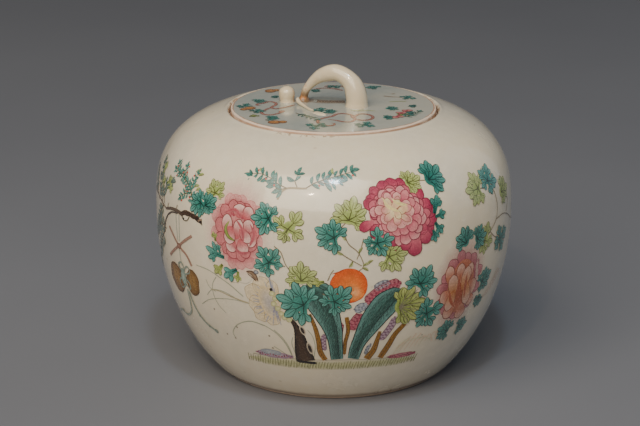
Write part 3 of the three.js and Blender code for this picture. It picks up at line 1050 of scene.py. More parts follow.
def garden_ground():
    """The strip of turf with its hatching, and the low mounds at its ends."""
    p = Painting(on_wall, 11)
    top = [(-33, 39), (-20, 40.5), (0, 40.5), (15, 41), (30, 38.5)]
    low = [(-30, 34), (-15, 33), (5, 32.5), (20, 33), (31, 35)]
    middle = [((a[0] + b[0]) / 2, (a[1] + b[1]) / 2) for a, b in zip(top, low)]
    p.stroke(p.spots(middle), lambda u: 3.9 * np.minimum(1, np.minimum(u, 1 - u) * 8 + 0.1),
             TURF["pale"], TURF["pale"], TURF["mid"], 7, cover=0.85, fade=0.75)
    p.level(1)
    hatch(p, middle, 6.5, TURF["line"], 1.9, lean=78, cover=0.62, thickness=0.5)
    hatch(p, [(x, y - 1.5) for x, y in middle], 3.5, TURF["line"], 2.6, lean=80, cover=0.5, thickness=0.42)
    twig(p, [(-29, 40.4), (-12, 41.2), (8, 41.2), (29, 40)], 0.5, 0.4, TURF["line"], 0.6)
    p.level(2)
    for centre, radii, tones in (((-20.5, 42.6), (13.5, 2.5), LILAC), ((24.5, 41.3), (10.5, 1.9), CORAL)):
        p.blob(p.spot(centre), radii, 0, tones["pale"], tones["mid"], 9, 0.12, lean=(0, 1))
        for i in range(16):
            x = centre[0] + (i - 7.5) * radii[0] / 8.6 / DEGREE
            p.dot((x, centre[1] + p.vary(0.9)), 0.9, tones["line"])
    p.blob(p.spot((-21.5, 44.6)), (7.5, 2.2), 0, SLATE["pale"], SLATE["mid"], 5, 0.1)
    for i in range(13):
        p.dot((-27 + i * 1.02, 42.2 + p.vary(0.8)), 1.0, CORAL["mid"])
    return p.piece("enamel_garden_ground")


def grasses():
    """Long thin blades, and the faint marks low at the right."""
    p = Painting(on_wall, 12).level(1)
    blades = [
        [(-35, 50), (-35.5, 53), (-33.5, 59), (-30, 63.5), (-26.5, 65.5), (-22, 64)],
        [(-26.5, 65.5), (-22, 64), (-18, 59), (-15.5, 52), (-14, 44)],
        [(-47, 93.5), (-42, 93), (-37.5, 90.5), (-33, 87), (-28.5, 81.5)],
        [(-47, 68), (-43, 73), (-37, 76.5), (-31, 78), (-26.5, 77.5)],
        [(-38.5, 90), (-40.5, 84), (-40.5, 77), (-39, 71), (-36.5, 67)],
        [(-43.5, 76), (-41, 80.5), (-36, 81.5), (-30, 78.5), (-26.5, 77.5)],
        [(-43, 86), (-42, 82), (-39.5, 80)],
        [(-19, 62), (-16.5, 57), (-14.6, 50), (-13.8, 42)],
        [(-12.2, 42), (-13, 48), (-13.5, 54), (-13, 58)],
        [(-20, 49.5), (-18, 47), (-15.5, 43.5), (-14, 41)],
        [(-6.5, 43), (-5.8, 52), (-6.6, 60), (-8, 64)],
    ]
    for i, route in enumerate(blades):
        twig(p, route, 0.5, 0.75 if i < 3 else 0.45, BLADE, 0.72)
    twig(p, [(-41.5, 80.5), (-38, 81), (-33, 79.5), (-27, 77.8)], 0.4, 1.0, (0.28, 0.22, 0.08), 0.7)
    for place in ((-35, 49.5), (-38.5, 50.8), (-41.5, 67.3), (-21, 57), (-33, 58.5), (-20.5, 48)):
        p.dot(place, 1.3, (0.12, 0.10, 0.07), 0.75)
    for i in range(9):
        x = 21 + i * 1.9
        reach = 9 + 5 * math.sin(i * 0.7)
        route = [(x, 43 + i), (x + 1.3, 48 + i), (x + 3.4, 43 + reach)]
        twig(p, route, 0.5, 1.3, (0.68, 0.40, 0.24), 0.38)
    for route in ([(21, 44), (22.5, 50), (26, 55)], [(22, 45), (25.5, 52), (31, 53)],
                  [(30, 46), (32, 52), (35, 49)]):
        twig(p, route, 0.4, 0.8, (0.50, 0.54, 0.34), 0.5)
    for i in range(10):
        x = 58 + i * 0.9
        twig(p, [(x - 2, 62 + i * 1.6), (x, 66 + i * 1.6), (x + 3, 68 + i)], 0.8, 2.4, (0.55, 0.30, 0.19),
             0.32)
    return p.piece("enamel_grasses")


def rocks():
    """The two tall teal rocks, with folds and fine slanting marks."""
    p = Painting(on_wall, 13).level(2)
    left = [(-6.5, 93.5), (-4.3, 86), (-2.0, 76), (0.1, 64), (1.0, 52), (1.4, 42)]
    right = [(21.5, 87.5), (17.6, 83), (13.6, 74), (10.4, 63), (8.0, 52), (7.0, 42)]
    shapes = (
        (left, lambda u: np.interp(u, (0, 0.06, 0.25, 0.5, 0.75, 1), (3.6, 8.4, 8.8, 6.2, 4.3, 4.0))),
        (right, lambda u: np.interp(u, (0, 0.05, 0.22, 0.45, 0.75, 1), (1.6, 5.0, 8.4, 7.4, 4.4, 3.8))),
    )
    for route, half in shapes:
        points = p.spots(route)
        p.again()
        path, side, wide = p.stroke(points, half, STONE["dark"], STONE["mid"], STONE["pale"], 9)
        for off, tone, thick, cover in ((0.62, STONE["pale"], 2.2, 0.75), (-0.30, STONE["mid"], 2.6, 0.7),
                                        (0.15, STONE["dark"], 3.0, 0.75), (-0.78, STONE["pale"], 1.5, 0.7)):
            fold = path + side * wide[:, None] * off
            p.stroke(fold[1:-1:3], leafy(thick, 0.45), tone, cover=cover, across=5, fade=0.8,
                     on=STONE["mid"])
        for off in (-0.99, 0.99, 0.38):
            edge = path + side * wide[:, None] * off
            p.line(edge[::3], 0.6 if abs(off) > 0.5 else 0.45, STONE["line"], 0.95, STONE["mid"])
        for i in range(1, len(path) - 1):
            for off in (-0.62, -0.42, -0.22, -0.02, 0.18, 0.34, 0.62):
                spot = path[i] + side[i] * wide[i] * (off + p.vary(0.12))
                p.tick(spot, 70 + p.vary(12), 0.9, 0.34, STONE["line"], 0.55, STONE["dark"])
    p.blob(p.spot((-4.6, 92)), (7.0, 2.6), -18, STONE["mid"], STONE["dark"], 4, 0.08)
    p.line(p.spots(((-11.5, 92), (-9, 95.5), (-5, 93.5), (-1, 88.5))), 0.6, STONE["line"])
    return p.piece("enamel_rocks")


def coral_lumps():
    """Dotted lumps of coral, slate and lilac beside the rocks."""
    p = Painting(on_wall, 14).level(1)
    lumps = [
        ([(10.2, 81.5), (12.6, 86.5), (16.4, 91), (20.5, 93)], 7.0, CORAL),
        ([(12.4, 90.5), (14.8, 93), (17, 93.6)], 4.6, SLATE),
        ([(5.2, 64.5), (7, 69.5), (8.8, 74.5)], 6.6, CORAL),
        ([(7, 76), (8.6, 79.4), (10.6, 79.6)], 5.0, SLATE),
        ([(1.9, 56), (2.2, 62), (2.6, 69)], 3.2, CORAL),
        ([(-2.7, 49), (-3.0, 55), (-2.9, 61)], 2.8, LILAC),
        ([(15.5, 55.5), (17, 60), (18.8, 66), (19.6, 71)], 4.2, LILAC),
        ([(11, 45), (11.6, 50), (12.5, 53)], 2.0, SLATE),
    ]
    for number, (route, width, tones) in enumerate(lumps):
        points = p.spots(route)
        p.again(6 * (number % 3))
        path, side, half = p.stroke(points, even(width), tones["mid"], edge=tones["pale"], across=5)
        for i in range(1, len(path)):
            for off in (-0.72, -0.25, 0.3, 0.75):
                spot = path[i] + side[i] * half[i] * (off + p.vary(0.12))
                tone = tones["pale"] if (i + int(off > 0)) % 2 else tones["line"]
                p.blob(spot, (0.62, 0.52), 0, tone, tone, around=8, rings=1, cover=0.6, on=tones["mid"])
        p.rims(path, side, half, 2, 0.4, tones["line"], 0.85, tones["mid"])
    return p.piece("enamel_coral_rocks")


def trunks():
    """The ochre stems and the dark hollow trunk that grow from the turf."""
    p = Painting(on_wall, 15).level(2)
    stems = [
        ([(-7.2, 75), (-5.6, 66), (-4.6, 56), (-4.2, 48), (-2.6, 41.5)], 1.6, 3.6, OCHRE),
        ([(4.2, 73), (4.8, 64), (4.0, 55), (3.9, 46)], 2.2, 1.8, OCHRE),
        ([(15.1, 62), (14.4, 55), (13.6, 48), (11.6, 41.5)], 1.8, 4.6, OCHRE),
        ([(23.2, 65.5), (20.4, 59), (18.6, 51), (16.4, 41.5)], 2.6, 4.2, OCHRE),
    ]
    for route, start, end, tones in stems:
        points = p.spots(route)
        p.again()
        path, side, half = p.stroke(points, drawn_out(start, end), tones["mid"], edge=tones["pale"],
                                    across=5)
        p.rims(path, side, half, 3, 0.45, tones["line"], 0.85, tones["mid"])
        for i in range(1, len(path), 2):
            spot = path[i] + side[i] * half[i] * p.vary(0.5)
            p.tick(spot, 100 + p.vary(25), 1.0, 0.5, tones["line"], 0.7, tones["mid"])
    bark = [(-13.2, 71), (-11.6, 66), (-10.6, 58), (-10.2, 50), (-9.4, 40)]
    p.again()
    half = lambda u: np.interp(u, (0, 0.2, 0.45, 0.8, 1), (0.8, 1.5, 3.2, 5.2, 6.4))
    path, side, wide = p.stroke(p.spots(bark), half, BARK["mid"], BARK["pale"], BARK["line"], 7)
    p.rims(path, side, wide, 3, 0.7, BARK["line"])
    for i in range(3, len(path), 2):
        spot = path[i] + side[i] * wide[i] * p.vary(0.7)
        p.tick(spot, 95 + p.vary(15), 1.7, 0.45, BARK["worn"], 0.6, BARK["mid"])
    p.stroke(p.spots(((-12.4, 39.5), (-9, 39), (-5.6, 38.5))), even(2.0), BARK["line"], across=3)
    for centre, radii, turn in (((-9.6, 63.5), (1.5, 3.4), 22), ((-7.6, 50.5), (1.7, 4.6), 14)):
        p.blob(p.spot(centre), radii, turn, BARK["line"], IVORY_KNOT, rings=4)
        p.blob(p.spot(centre), (radii[0] * 0.55, radii[1] * 0.7), turn, BARK["mid"], BARK["line"], rings=2)
    return p.piece("enamel_trunks")


def hibiscus():
    """A cream flower with a lavender throat and a row of anthers."""
    p = Painting(on_wall, 16).level(1)
    heart = p.spot((-18, 80))
    silk = {"deep": CREAM["mid"], "blush": CREAM["pale"], "pale": (0.74, 0.62, 0.42), "line": CREAM["line"]}
    for angle, length, width in ((125, 19, 15), (158, 20, 15), (190, 17, 15), (222, 17, 14), (258, 15, 13),
                                 (95, 15, 9)):
        p.petal(heart, angle, length, width, silk, 4, 0.26)
    p.level(2)
    for i in range(46):
        angle = 88 + i * 4.3 + p.vary(2.5)
        inner = heart + heading(angle) * (1.5 + p.random.random() * 2)
        outer = heart + heading(angle + p.vary(4)) * (10 + 4.5 * math.sin(i * 1.3))
        p.stroke([inner, (inner + outer) / 2, outer], drawn_out(1.3, 0.4), LAVENDER, (0.36, 0.38, 0.48),
                 cover=0.8, on=CREAM["pale"])
    p.blob(heart + np.array([-3, 0]), (6.0, 11.0), 20, (0.30, 0.32, 0.42), (0.52, 0.53, 0.56), cover=0.6,
           fade=1, on=CREAM["pale"])
    p.level(3)
    for place in ((-18.6, 86.5), (-17.6, 83.5), (-18.2, 80), (-17, 77.2), (-16, 74), (-15, 71.6),
                  (-13.6, 70.4)):
        spot = p.spot(place)
        p.blob(spot, (2.0, 1.6), 30, (0.66, 0.64, 0.36), (0.44, 0.44, 0.18), around=14, rings=2)
        p.line([spot + heading(a) * 1.8 for a in range(20, 300, 40)], 0.3, (0.2, 0.16, 0.05), 0.7)
    p.dot((-18.8, 89), 2.0, (0.02, 0.015, 0.01))
    p.level(4)
    dark = (0.10, 0.05, 0.03)
    p.stroke(p.spots(((-26.8, 97.8), (-24.8, 97.6), (-23, 93.5))), leafy(3.2), (0.30, 0.20, 0.12),
             edge=dark, across=5)
    p.line(p.spots(((-26.8, 98), (-25, 98.6), (-23.4, 96.5), (-22.9, 93))), 0.7, dark)
    p.line(p.spots(((-26.4, 97), (-25, 95.2), (-23.4, 93))), 0.6, dark)
    p.blob(p.spot((-23.4, 98.6)), (1.6, 1.3), 0, (0.45, 0.47, 0.5), (0.1, 0.1, 0.12), around=14, rings=2)
    twig(p, [(-19.5, 99.5), (-19, 94), (-18.6, 90)], 0.6, 1.0, (0.30, 0.32, 0.40))
    return p.piece("enamel_hibiscus")


def peach():
    """One orange fruit, paler low on one side, with fine specks."""
    p = Painting(on_wall, 17).level(1)
    centre = p.spot((4.7, 93))
    rim = p.blob(centre, (10.8, 10.6), 0, PEACH["blush"], PEACH["deep"], 0, around=48, rings=8,
                 lean=(2.0, -2.5))
    p.blob(centre + np.array([2.6, -4.0]), (6.6, 5.2), -25, PEACH["pale"], PEACH["blush"], rings=6,
           fade=0.9, on=PEACH["blush"])
    p.line(rim[::3], 0.35, (0.45, 0.07, 0.01), 0.7, PEACH["deep"])
    p.stroke(p.spots(((-0.5, 100.6), (1.6, 101.6), (3.4, 103.2))), leafy(0.9), (0.45, 0.06, 0.005),
             on=PEACH["deep"])
    for _ in range(60):
        angle = p.random.uniform(-30, 170)
        reach = p.random.uniform(6.5, 10)
        spot = centre + heading(angle) * reach
        p.blob(spot, (0.28, 0.28), 0, PEACH["deep"], PEACH["deep"], around=6, rings=1)
    return p.piece("enamel_peach")


def left_peony():
    """A rose peony seen from the front, its cream inner petals inside a dark ruffled ring."""
    p = Painting(on_wall, 21).level(3)
    centre = p.spot((-30, 121))
    p.blob(centre + np.array([-1.0, 1]), (25, 32), 0, ROSE["blush"], ROSE["pale"], 17, 0.05, around=68,
           rings=9, cover=1.0, fade=1)
    ruffle = {**ROSE, "blush": (0.47, 0.10, 0.12), "pale": (0.72, 0.36, 0.33), "line": ROSE["blush"]}
    petal_ring(p, centre, (15.5, 23.5), 0, 0.48, 16, 11.6, 10.5, ruffle, line=0.3)
    p.level(4)
    petal_ring(p, centre, (15.2, 22.5), 0, 0.40, 13, 9.2, 9.4, {**ROSE, "pale": ROSE["blush"]}, 18,
               line=0.42)
    p.level(5)
    inner = [
        ((-33.5, 121.5), 92, 14, 9.5), ((-29.4, 132), 100, 8, 11.5), ((-26.6, 131.5), 62, 8, 9),
        ((-26.4, 123), 70, 10, 9),
        ((-24.4, 119), 250, 11, 8), ((-28, 113.5), 285, 9.5, 10), ((-31.6, 112.5), 240, 8, 9.5),
        ((-29.6, 121), 80, 12, 8.5),
        ((-32.4, 119), 262, 11, 10), ((-27.4, 120), 310, 10, 8),
    ]
    petals(p, inner, 0.4, {**ROSE, "deep": (0.50, 0.10, 0.11)}, 2, 0.5)
    p.level(6)
    folds = ([(-30.5, 128), (-28.2, 123), (-27.5, 115)], [(-35, 130), (-31, 133), (-28, 128)],
             [(-25.5, 127), (-24, 121), (-25.5, 113)], [(-31, 112), (-28.5, 108.5), (-25.5, 110)])
    for route in folds:
        p.stroke(p.spots(route), leafy(2.2), ROSE["deep"], cover=0.75, across=5, fade=0.8, on=ROSE["blush"])
    crescent = p.spots(((-32.6, 126.5), (-34, 121.5), (-33, 117), (-30.4, 115)))
    p.stroke(crescent, leafy(2.4), MOSS["mid"], MOSS["dark"], MOSS["line"], 5)
    return p.piece("enamel_peony_left")


def centre_peony():
    """A full magenta peony, its scalloped petals packed round a cream heart."""
    p = Painting(on_wall, 22).level(3)
    centre = p.spot((20.2, 132.4))
    radii, turn = (22.4, 18.0), -38
    p.blob(centre, (19, 16), turn, MAGENTA["pale"], MAGENTA["blush"], rings=4)
    dark_rim = {**MAGENTA, "deep": MAGENTA["blush"], "pale": MAGENTA["deep"], "blush": (0.54, 0.10, 0.15)}
    petal_ring(p, centre, radii, turn, 0.60, 19, 10.4, 9.6, dark_rim, start=-118, end=210, line=0.5)
    p.level(4)
    petal_ring(p, centre, radii, turn, 0.50, 18, 8.4, 8.4, {**MAGENTA, "pale": MAGENTA["blush"]}, 11,
               start=-122, end=214, line=0.5)
    lower = (((25, 115.5), 262, 11, 11), ((22.4, 117), 235, 8, 8), ((18.6, 121), 250, 9, 8.5),
             ((10.5, 129), 210, 9, 7),
             ((28, 120), 300, 9, 9), ((27, 125), 290, 8, 9))
    petals(p, lower, 0.35, dark_rim, 3, 0.5)
    p.level(5)
    heart = centre + np.array([-2.5, 3])
    petal_ring(p, centre, radii, turn, 0.40, 15, 8.6, 8.2, MAGENTA, 3, start=-122, end=214, line=0.5)
    p.level(6)
    petal_ring(p, centre + np.array([-1, 1.5]), radii, turn, 0.30, 13, 8.2, 8.0,
               {**MAGENTA, "pale": (0.70, 0.26, 0.27)}, 5, line=0.45)
    petal_ring(p, heart, radii, turn, 0.19, 10, 7.6, 7.4, {**PINK, "pale": (0.76, 0.40, 0.36)}, 20,
               line=0.42)
    p.level(7)
    flushed = {**HEART, "deep": HEART["pale"], "blush": (0.78, 0.55, 0.36), "pale": PINK["blush"]}
    petal_ring(p, heart, radii, turn, 0.05, 7, 8.6, 5.0, flushed, 30, line=0.38)
    for place, angle, length in (((16.8, 139), 100, 7), ((19, 138.5), 40, 7), ((21.6, 136), 200, 7),
                                 ((19.4, 134), 300, 6)):
        base = p.spot(place) - heading(angle) * length * 0.4
        p.petal(base, angle, length, length * 0.8, {**HEART, "deep": HEART["blush"]}, 2, 0.36)
    for route in ([(15, 144), (17, 138), (20.5, 134.5)], [(18, 143), (19.5, 140), (23, 138)]):
        p.stroke(p.spots(route), leafy(2.0), (0.80, 0.64, 0.24), cover=0.8, across=5, fade=0.8,
                 on=HEART["pale"])
    return p.piece("enamel_peony_centre")


def right_peony():
    """A plum peony whose big pale petals open over a russet heart."""
    p = Painting(on_wall, 23).level(3)
    centre = p.spot((43.5, 82))
    p.blob(p.spot((43.5, 83.5)), (24, 32), -6, PLUM["blush"], PLUM["pale"], 17, 0.05, around=68, rings=9,
           cover=1.0, fade=1)
    petal_ring(p, centre, (15.5, 22.5), -6, 0.48, 15, 12, 10.5, {**PLUM, "pale": (0.52, 0.20, 0.21)},
               line=0.35)
    p.level(4)
    p.blob(centre, (11.5, 17), -6, RUSSET["deep"], RUSSET["blush"], rings=5)
    outer = [
        ((38.2, 90.5), 100, 13, 9), ((42.6, 90), 88, 13, 9.5), ((46.6, 88), 70, 14, 9),
        ((48.6, 79), 350, 10, 14),
        ((37.4, 78), 195, 9, 12), ((40, 68), 235, 11, 11), ((45.5, 65), 275, 10, 12),
        ((49, 71), 310, 9, 10),
    ]
    petals(p, outer, 0.45, {**RUSSET, "deep": (0.60, 0.26, 0.14)}, 2, 0.5)
    p.level(5)
    inner = [((39.8, 84), 96, 15, 10), ((45.4, 86.5), 76, 15, 10.5), ((39.6, 74.5), 255, 14, 9.5),
             ((46.8, 76), 284, 16, 10)]
    petals(p, inner, 0.5, {**RUSSET, "deep": (0.48, 0.15, 0.03), "blush": (0.60, 0.27, 0.12)}, 3, 0.42)
    for route in ([(42.6, 91), (42.3, 82), (43, 72)], [(38.5, 82), (39.5, 75), (42, 69)],
                  [(45.8, 90), (45.6, 82), (46, 73)]):
        p.stroke(p.spots(route), leafy(2.4), RUSSET["deep"], cover=0.8, across=5, fade=0.7,
                 on=RUSSET["blush"])
    return p.piece("enamel_peony_right")


def teal_leaves():
    """The garden's teal leaves."""
    p = Painting(on_wall, 31).level(5)
    for place, turn, size, spread in (
            ((-19.5, 131), 185, 12, 118), ((-19.2, 105.5), 130, 11.5, 135), ((0.3, 122), 150, 12.5, 118),
            ((-8.8, 81), 165, 18, 100), ((0.4, 83.5), 40, 13, 130), ((13, 118), 20, 11.5, 150),
            ((27, 90.5), 55, 13.5, 115), ((30.6, 70), 20, 13, 150), ((41.5, 52.5), 160, 10.5, 100),
            ((47.5, 52), 10, 9, 90), ((44.4, 108.5), 115, 11.5, 70), ((49.6, 109), 10, 10.5, 95),
            ((58.6, 139.5), 60, 12, 140), ((64.2, 101), 20, 11, 160), ((-44.8, 132), 215, 10.5, 100),
            ((-43, 131), 40, 10, 60), ((55, 79), 20, 10.5, 110), ((55.5, 69), 250, 8, 60)):
        leaf(p, place, turn, size, TEAL, spread, 5)
    leaf(p, (32.4, 150.2), 30, 15, PALE_TEAL, 70, 5)
    for place, angle, length in (((31.8, 131), 70, 11), ((32, 129), 12, 8), ((31.8, 126), 305, 9),
                                 ((31, 122), 285, 8), ((31.6, 134), 40, 8)):
        leaf_lobe(p, p.spot(place), angle, length, length * 0.55, PALE_TEAL)
    for place, angle, length, width in (((-34.6, 103.5), 165, 15, 6), ((-37, 104.8), 205, 9, 5),
                                        ((-30, 98), 215, 12, 6.5), ((-36, 105.5), 120, 6, 3.5)):
        leaf_lobe(p, p.spot(place), angle, length, width, TEAL)
    return p.piece("enamel_leaves_teal")


def moss_leaves():
    """The garden's yellow-green leaves."""
    p = Painting(on_wall, 32).level(4)
    for place, turn, size, spread in (
            ((-13.4, 126), 60, 12, 165), ((4.6, 131.6), 80, 14, 95), ((-9.4, 96), 85, 12, 95),
            ((16.6, 109.5), 10, 12.5, 120),
            ((20.6, 77.5), 8, 18, 78), ((54, 105.5), 70, 11.5, 165), ((52.4, 137.5), 170, 13, 120),
            ((65.8, 129), 5, 13, 60),
            ((24.6, 150.5), 20, 10, 85), ((-39.8, 139.5), 120, 10, 115)):
        leaf(p, place, turn, size, SPRING if place[1] > 90 else MOSS, spread, 5)
    for place, angle, length, width in (((-2.6, 96), 185, 7, 4.6), ((-35.4, 99), 225, 9.5, 5.5),
                                        ((-29.6, 97), 262, 7, 4), ((-38, 112), 110, 6, 3.5)):
        leaf_lobe(p, p.spot(place), angle, length, width, MOSS)
    for angle in (-62, -40, -20, 0, 20, 38, 58):
        tip = p.spot((20.6, 77.5)) + heading(angle + 4) * 15
        p.stroke([p.spot((20.6, 77.5)), tip], drawn_out(0.7, 0.25), MOSS["line"], cover=0.8)
    return p.piece("enamel_leaves_moss")


def stems():
    """Thin stems that join the leaves and the flowers."""
    p = Painting(on_wall, 33).level(2)
    routes = [
        [(-19.2, 118.5), (-17.6, 115.5), (-15.6, 112.5), (-14, 105), (-10.5, 97)],
        [(-18.6, 105), (-16.5, 105.2), (-14.2, 104)],
        [(-17.9, 128), (-16.4, 124), (-15, 120.8), (-13.4, 126)],
        [(-20, 131), (-17.5, 130.5), (-13.5, 126.5)], [(4.6, 131.6), (2.5, 128), (0.3, 122)],
        [(3.4, 123), (4.6, 118), (7.4, 113), (9, 104.5), (7.5, 102)],
        [(2.8, 112), (5.5, 108.5), (8.5, 105)],
        [(9, 121), (8, 114), (7, 109)],
        [(-12.4, 90.5), (-11.4, 95.6), (-9, 95.8), (-5.4, 92), (-1.2, 85), (1.4, 77)],
        [(16.6, 109.5), (14.6, 112), (13, 118)], [(-1.6, 96.5), (-0.6, 101), (0.2, 103)],
        [(23.4, 68), (20.6, 77.5), (22.4, 84)],
        [(58.8, 139), (61.4, 130), (62, 121), (61, 115), (54.5, 106)],
        [(61, 115), (66, 115.6), (71, 113), (77, 107), (84, 103)], [(69.5, 115), (71.5, 122), (66.2, 129)],
        [(56.8, 110), (60, 105), (64.2, 101.4)], [(52.4, 137.5), (55.5, 137), (58.6, 139.5)],
        [(24.6, 150.5), (28, 151), (32.2, 150.4)], [(47.5, 108), (50.4, 107.6), (54, 105.5)],
    ]
    for route in routes:
        twig(p, route, 0.62, 0.5, TWIG, 0.85)
    for place, angle in (((3, 112), 150), ((8.8, 105), 20), ((8.6, 104), 330), ((10, 106), 30),
                         ((5.8, 108), 240), ((7.6, 112.4), 60), ((4, 120), 120)):
        little_leaf(p, place, angle, 4.2, MOSS, 0.8)
    return p.piece("enamel_stems")


def sprigs():
    """Sprigs of small leaves with red berries."""
    p = Painting(on_wall, 34).level(2)
    twig(p, [(-17.4, 142), (-16.6, 146), (-15, 148.8), (-10, 149.4), (-8.4, 149.6)], 1.3, 1.0,
         (0.30, 0.22, 0.10), 0.9)
    sprig(p, [(-15, 149), (-18, 151), (-21, 154), (-25, 156), (-28, 155.4)], PALE_TEAL, 6.4, 3.8,
          berries=BERRY)
    sprig(p, [(-8.6, 149.8), (-6, 153), (-2.5, 155.4), (1.6, 157.6), (6, 160)], PALE_TEAL, 6.6, 4.0,
          berries=BERRY)
    sprig(p, [(-15, 149), (-17.5, 148), (-19.6, 150)], PALE_TEAL, 5.6, 3.6)
    sprig(p, [(-11.6, 150), (-12.6, 153.6), (-12, 157.5)], PALE_TEAL, 5.8, 3.8)
    sprig(p, [(-5, 153.6), (-2, 152.6), (1.6, 153.4)], PALE_TEAL, 5.8, 3.8, berries=BERRY)
    little_leaf(p, (0, 158.6), 100, 4.4, SPRING)
    little_leaf(p, (-24, 158), 160, 4.6, SPRING)
    p.level(3)
    sprig(p, [(-48, 130), (-50.4, 136), (-53, 140), (-57, 142.4), (-62.5, 145)], TEAL, 4.2, 2.4, 0.9,
          berries=BERRY)
    sprig(p, [(-50, 135.5), (-50.6, 141), (-50, 147)], TEAL, 4.2, 2.6, berries=BERRY)
    sprig(p, [(-50.6, 135), (-53.6, 133.6), (-55, 131.4)], TEAL, 4.0, 2.6, berries=BERRY)
    sprig(p, [(-54, 141), (-57, 146), (-57.2, 148.5)], TEAL, 3.8, 2.8, berries=BERRY)
    sprig(p, [(-57.6, 142.5), (-61, 146.6), (-62.6, 148.6)], TEAL, 3.6, 2.8)
    for place in ((-49.4, 146.5), (-48.4, 138), (-51.4, 148), (-49.6, 139.6)):
        little_leaf(p, place, 20, 4.6, SPRING)
    return p.piece("enamel_sprigs")


def old_branch():
    """The gnarled branch at the left, with its dusky leaves."""
    p = Painting(on_wall, 35).level(2)
    twig(p, [(-82, 123), (-75, 123.4), (-69, 121.6), (-64, 119.4)], 1.5, 1.1, BARK["pale"], 0.85)
    twig(p, [(-64, 119.6), (-60, 121.6), (-56, 122), (-53, 121.2)], 1.6, 2.6, BARK["pale"], 0.95,
         BARK["mid"])
    twig(p, [(-54, 121.6), (-51.6, 123.8), (-49, 123.6), (-45, 123)], 2.2, 1.5, BARK["pale"], 1.0,
         BARK["mid"])
    p.stroke(p.spots(((-54.6, 121.2), (-51, 122.8), (-47.4, 122.2), (-43.6, 120.2), (-39.6, 116.6))),
             lambda u: 0.8 + 0.45 * np.sin(u * 19) ** 2, BARK["pale"], BARK["mid"], BARK["line"], 5, 0.8)
    twig(p, [(-65.6, 104), (-65, 110), (-62.8, 116), (-60, 119.4), (-56, 120.8)], 1.5, 0.9, BARK["mid"],
         0.95)
    twig(p, [(-54, 121), (-52.6, 118.6), (-50.8, 118.8), (-49.6, 121.8)], 0.8, 0.7, BARK["mid"], 0.9)
    twig(p, [(-46.5, 122.4), (-43, 119.9), (-39, 116)], 1.8, 3.4, BARK["mid"], 1.0, BARK["line"])
    twig(p, [(-45.6, 121), (-43.4, 122.6), (-41.6, 119.6)], 1.0, 1.2, (0.20, 0.12, 0.07), 0.9)
    p.dot((-52.6, 119.2), 1.5, BARK["line"])
    for x, y, angle in ((-72, 122, 200), (-67.6, 121, 110), (-63, 122, 60), (-57, 123.6, 70),
                        (-48.4, 125, 100)):
        twig(p, [(x, y - 1), (x + math.cos(math.radians(angle)) * 1.6, y + 2)], 0.9, 0.5, BARK["pale"], 0.8)
    p.level(3)
    dusk = {"light": (0.30, 0.38, 0.30), "mid": (0.13, 0.21, 0.17), "dark": (0.07, 0.13, 0.11),
            "line": (0.03, 0.05, 0.045)}
    for route in ([(-66, 104), (-69, 98), (-72, 91), (-75, 84), (-78, 78)],
                  [(-64, 107), (-69, 108), (-73, 104), (-77, 98)],
                  [(-66, 121), (-69, 116), (-71.6, 110), (-73.6, 103)],
                  [(-68, 122), (-70, 129), (-73, 136), (-75, 142)],
                  [(-66, 122), (-67, 128), (-65.6, 134), (-63, 136)],
                  [(-74, 123.4), (-78, 129), (-82, 134)]):
        sprig(p, route, dusk, 6.2, 3.4, 0.8)
    for place, angle in (((-66, 134), 40), ((-68, 130), 120), ((-64.6, 132), 10), ((-72, 137), 90)):
        leaf_lobe(p, p.spot(place), angle, 8, 4, SPRING)
    return p.piece("enamel_old_branch")


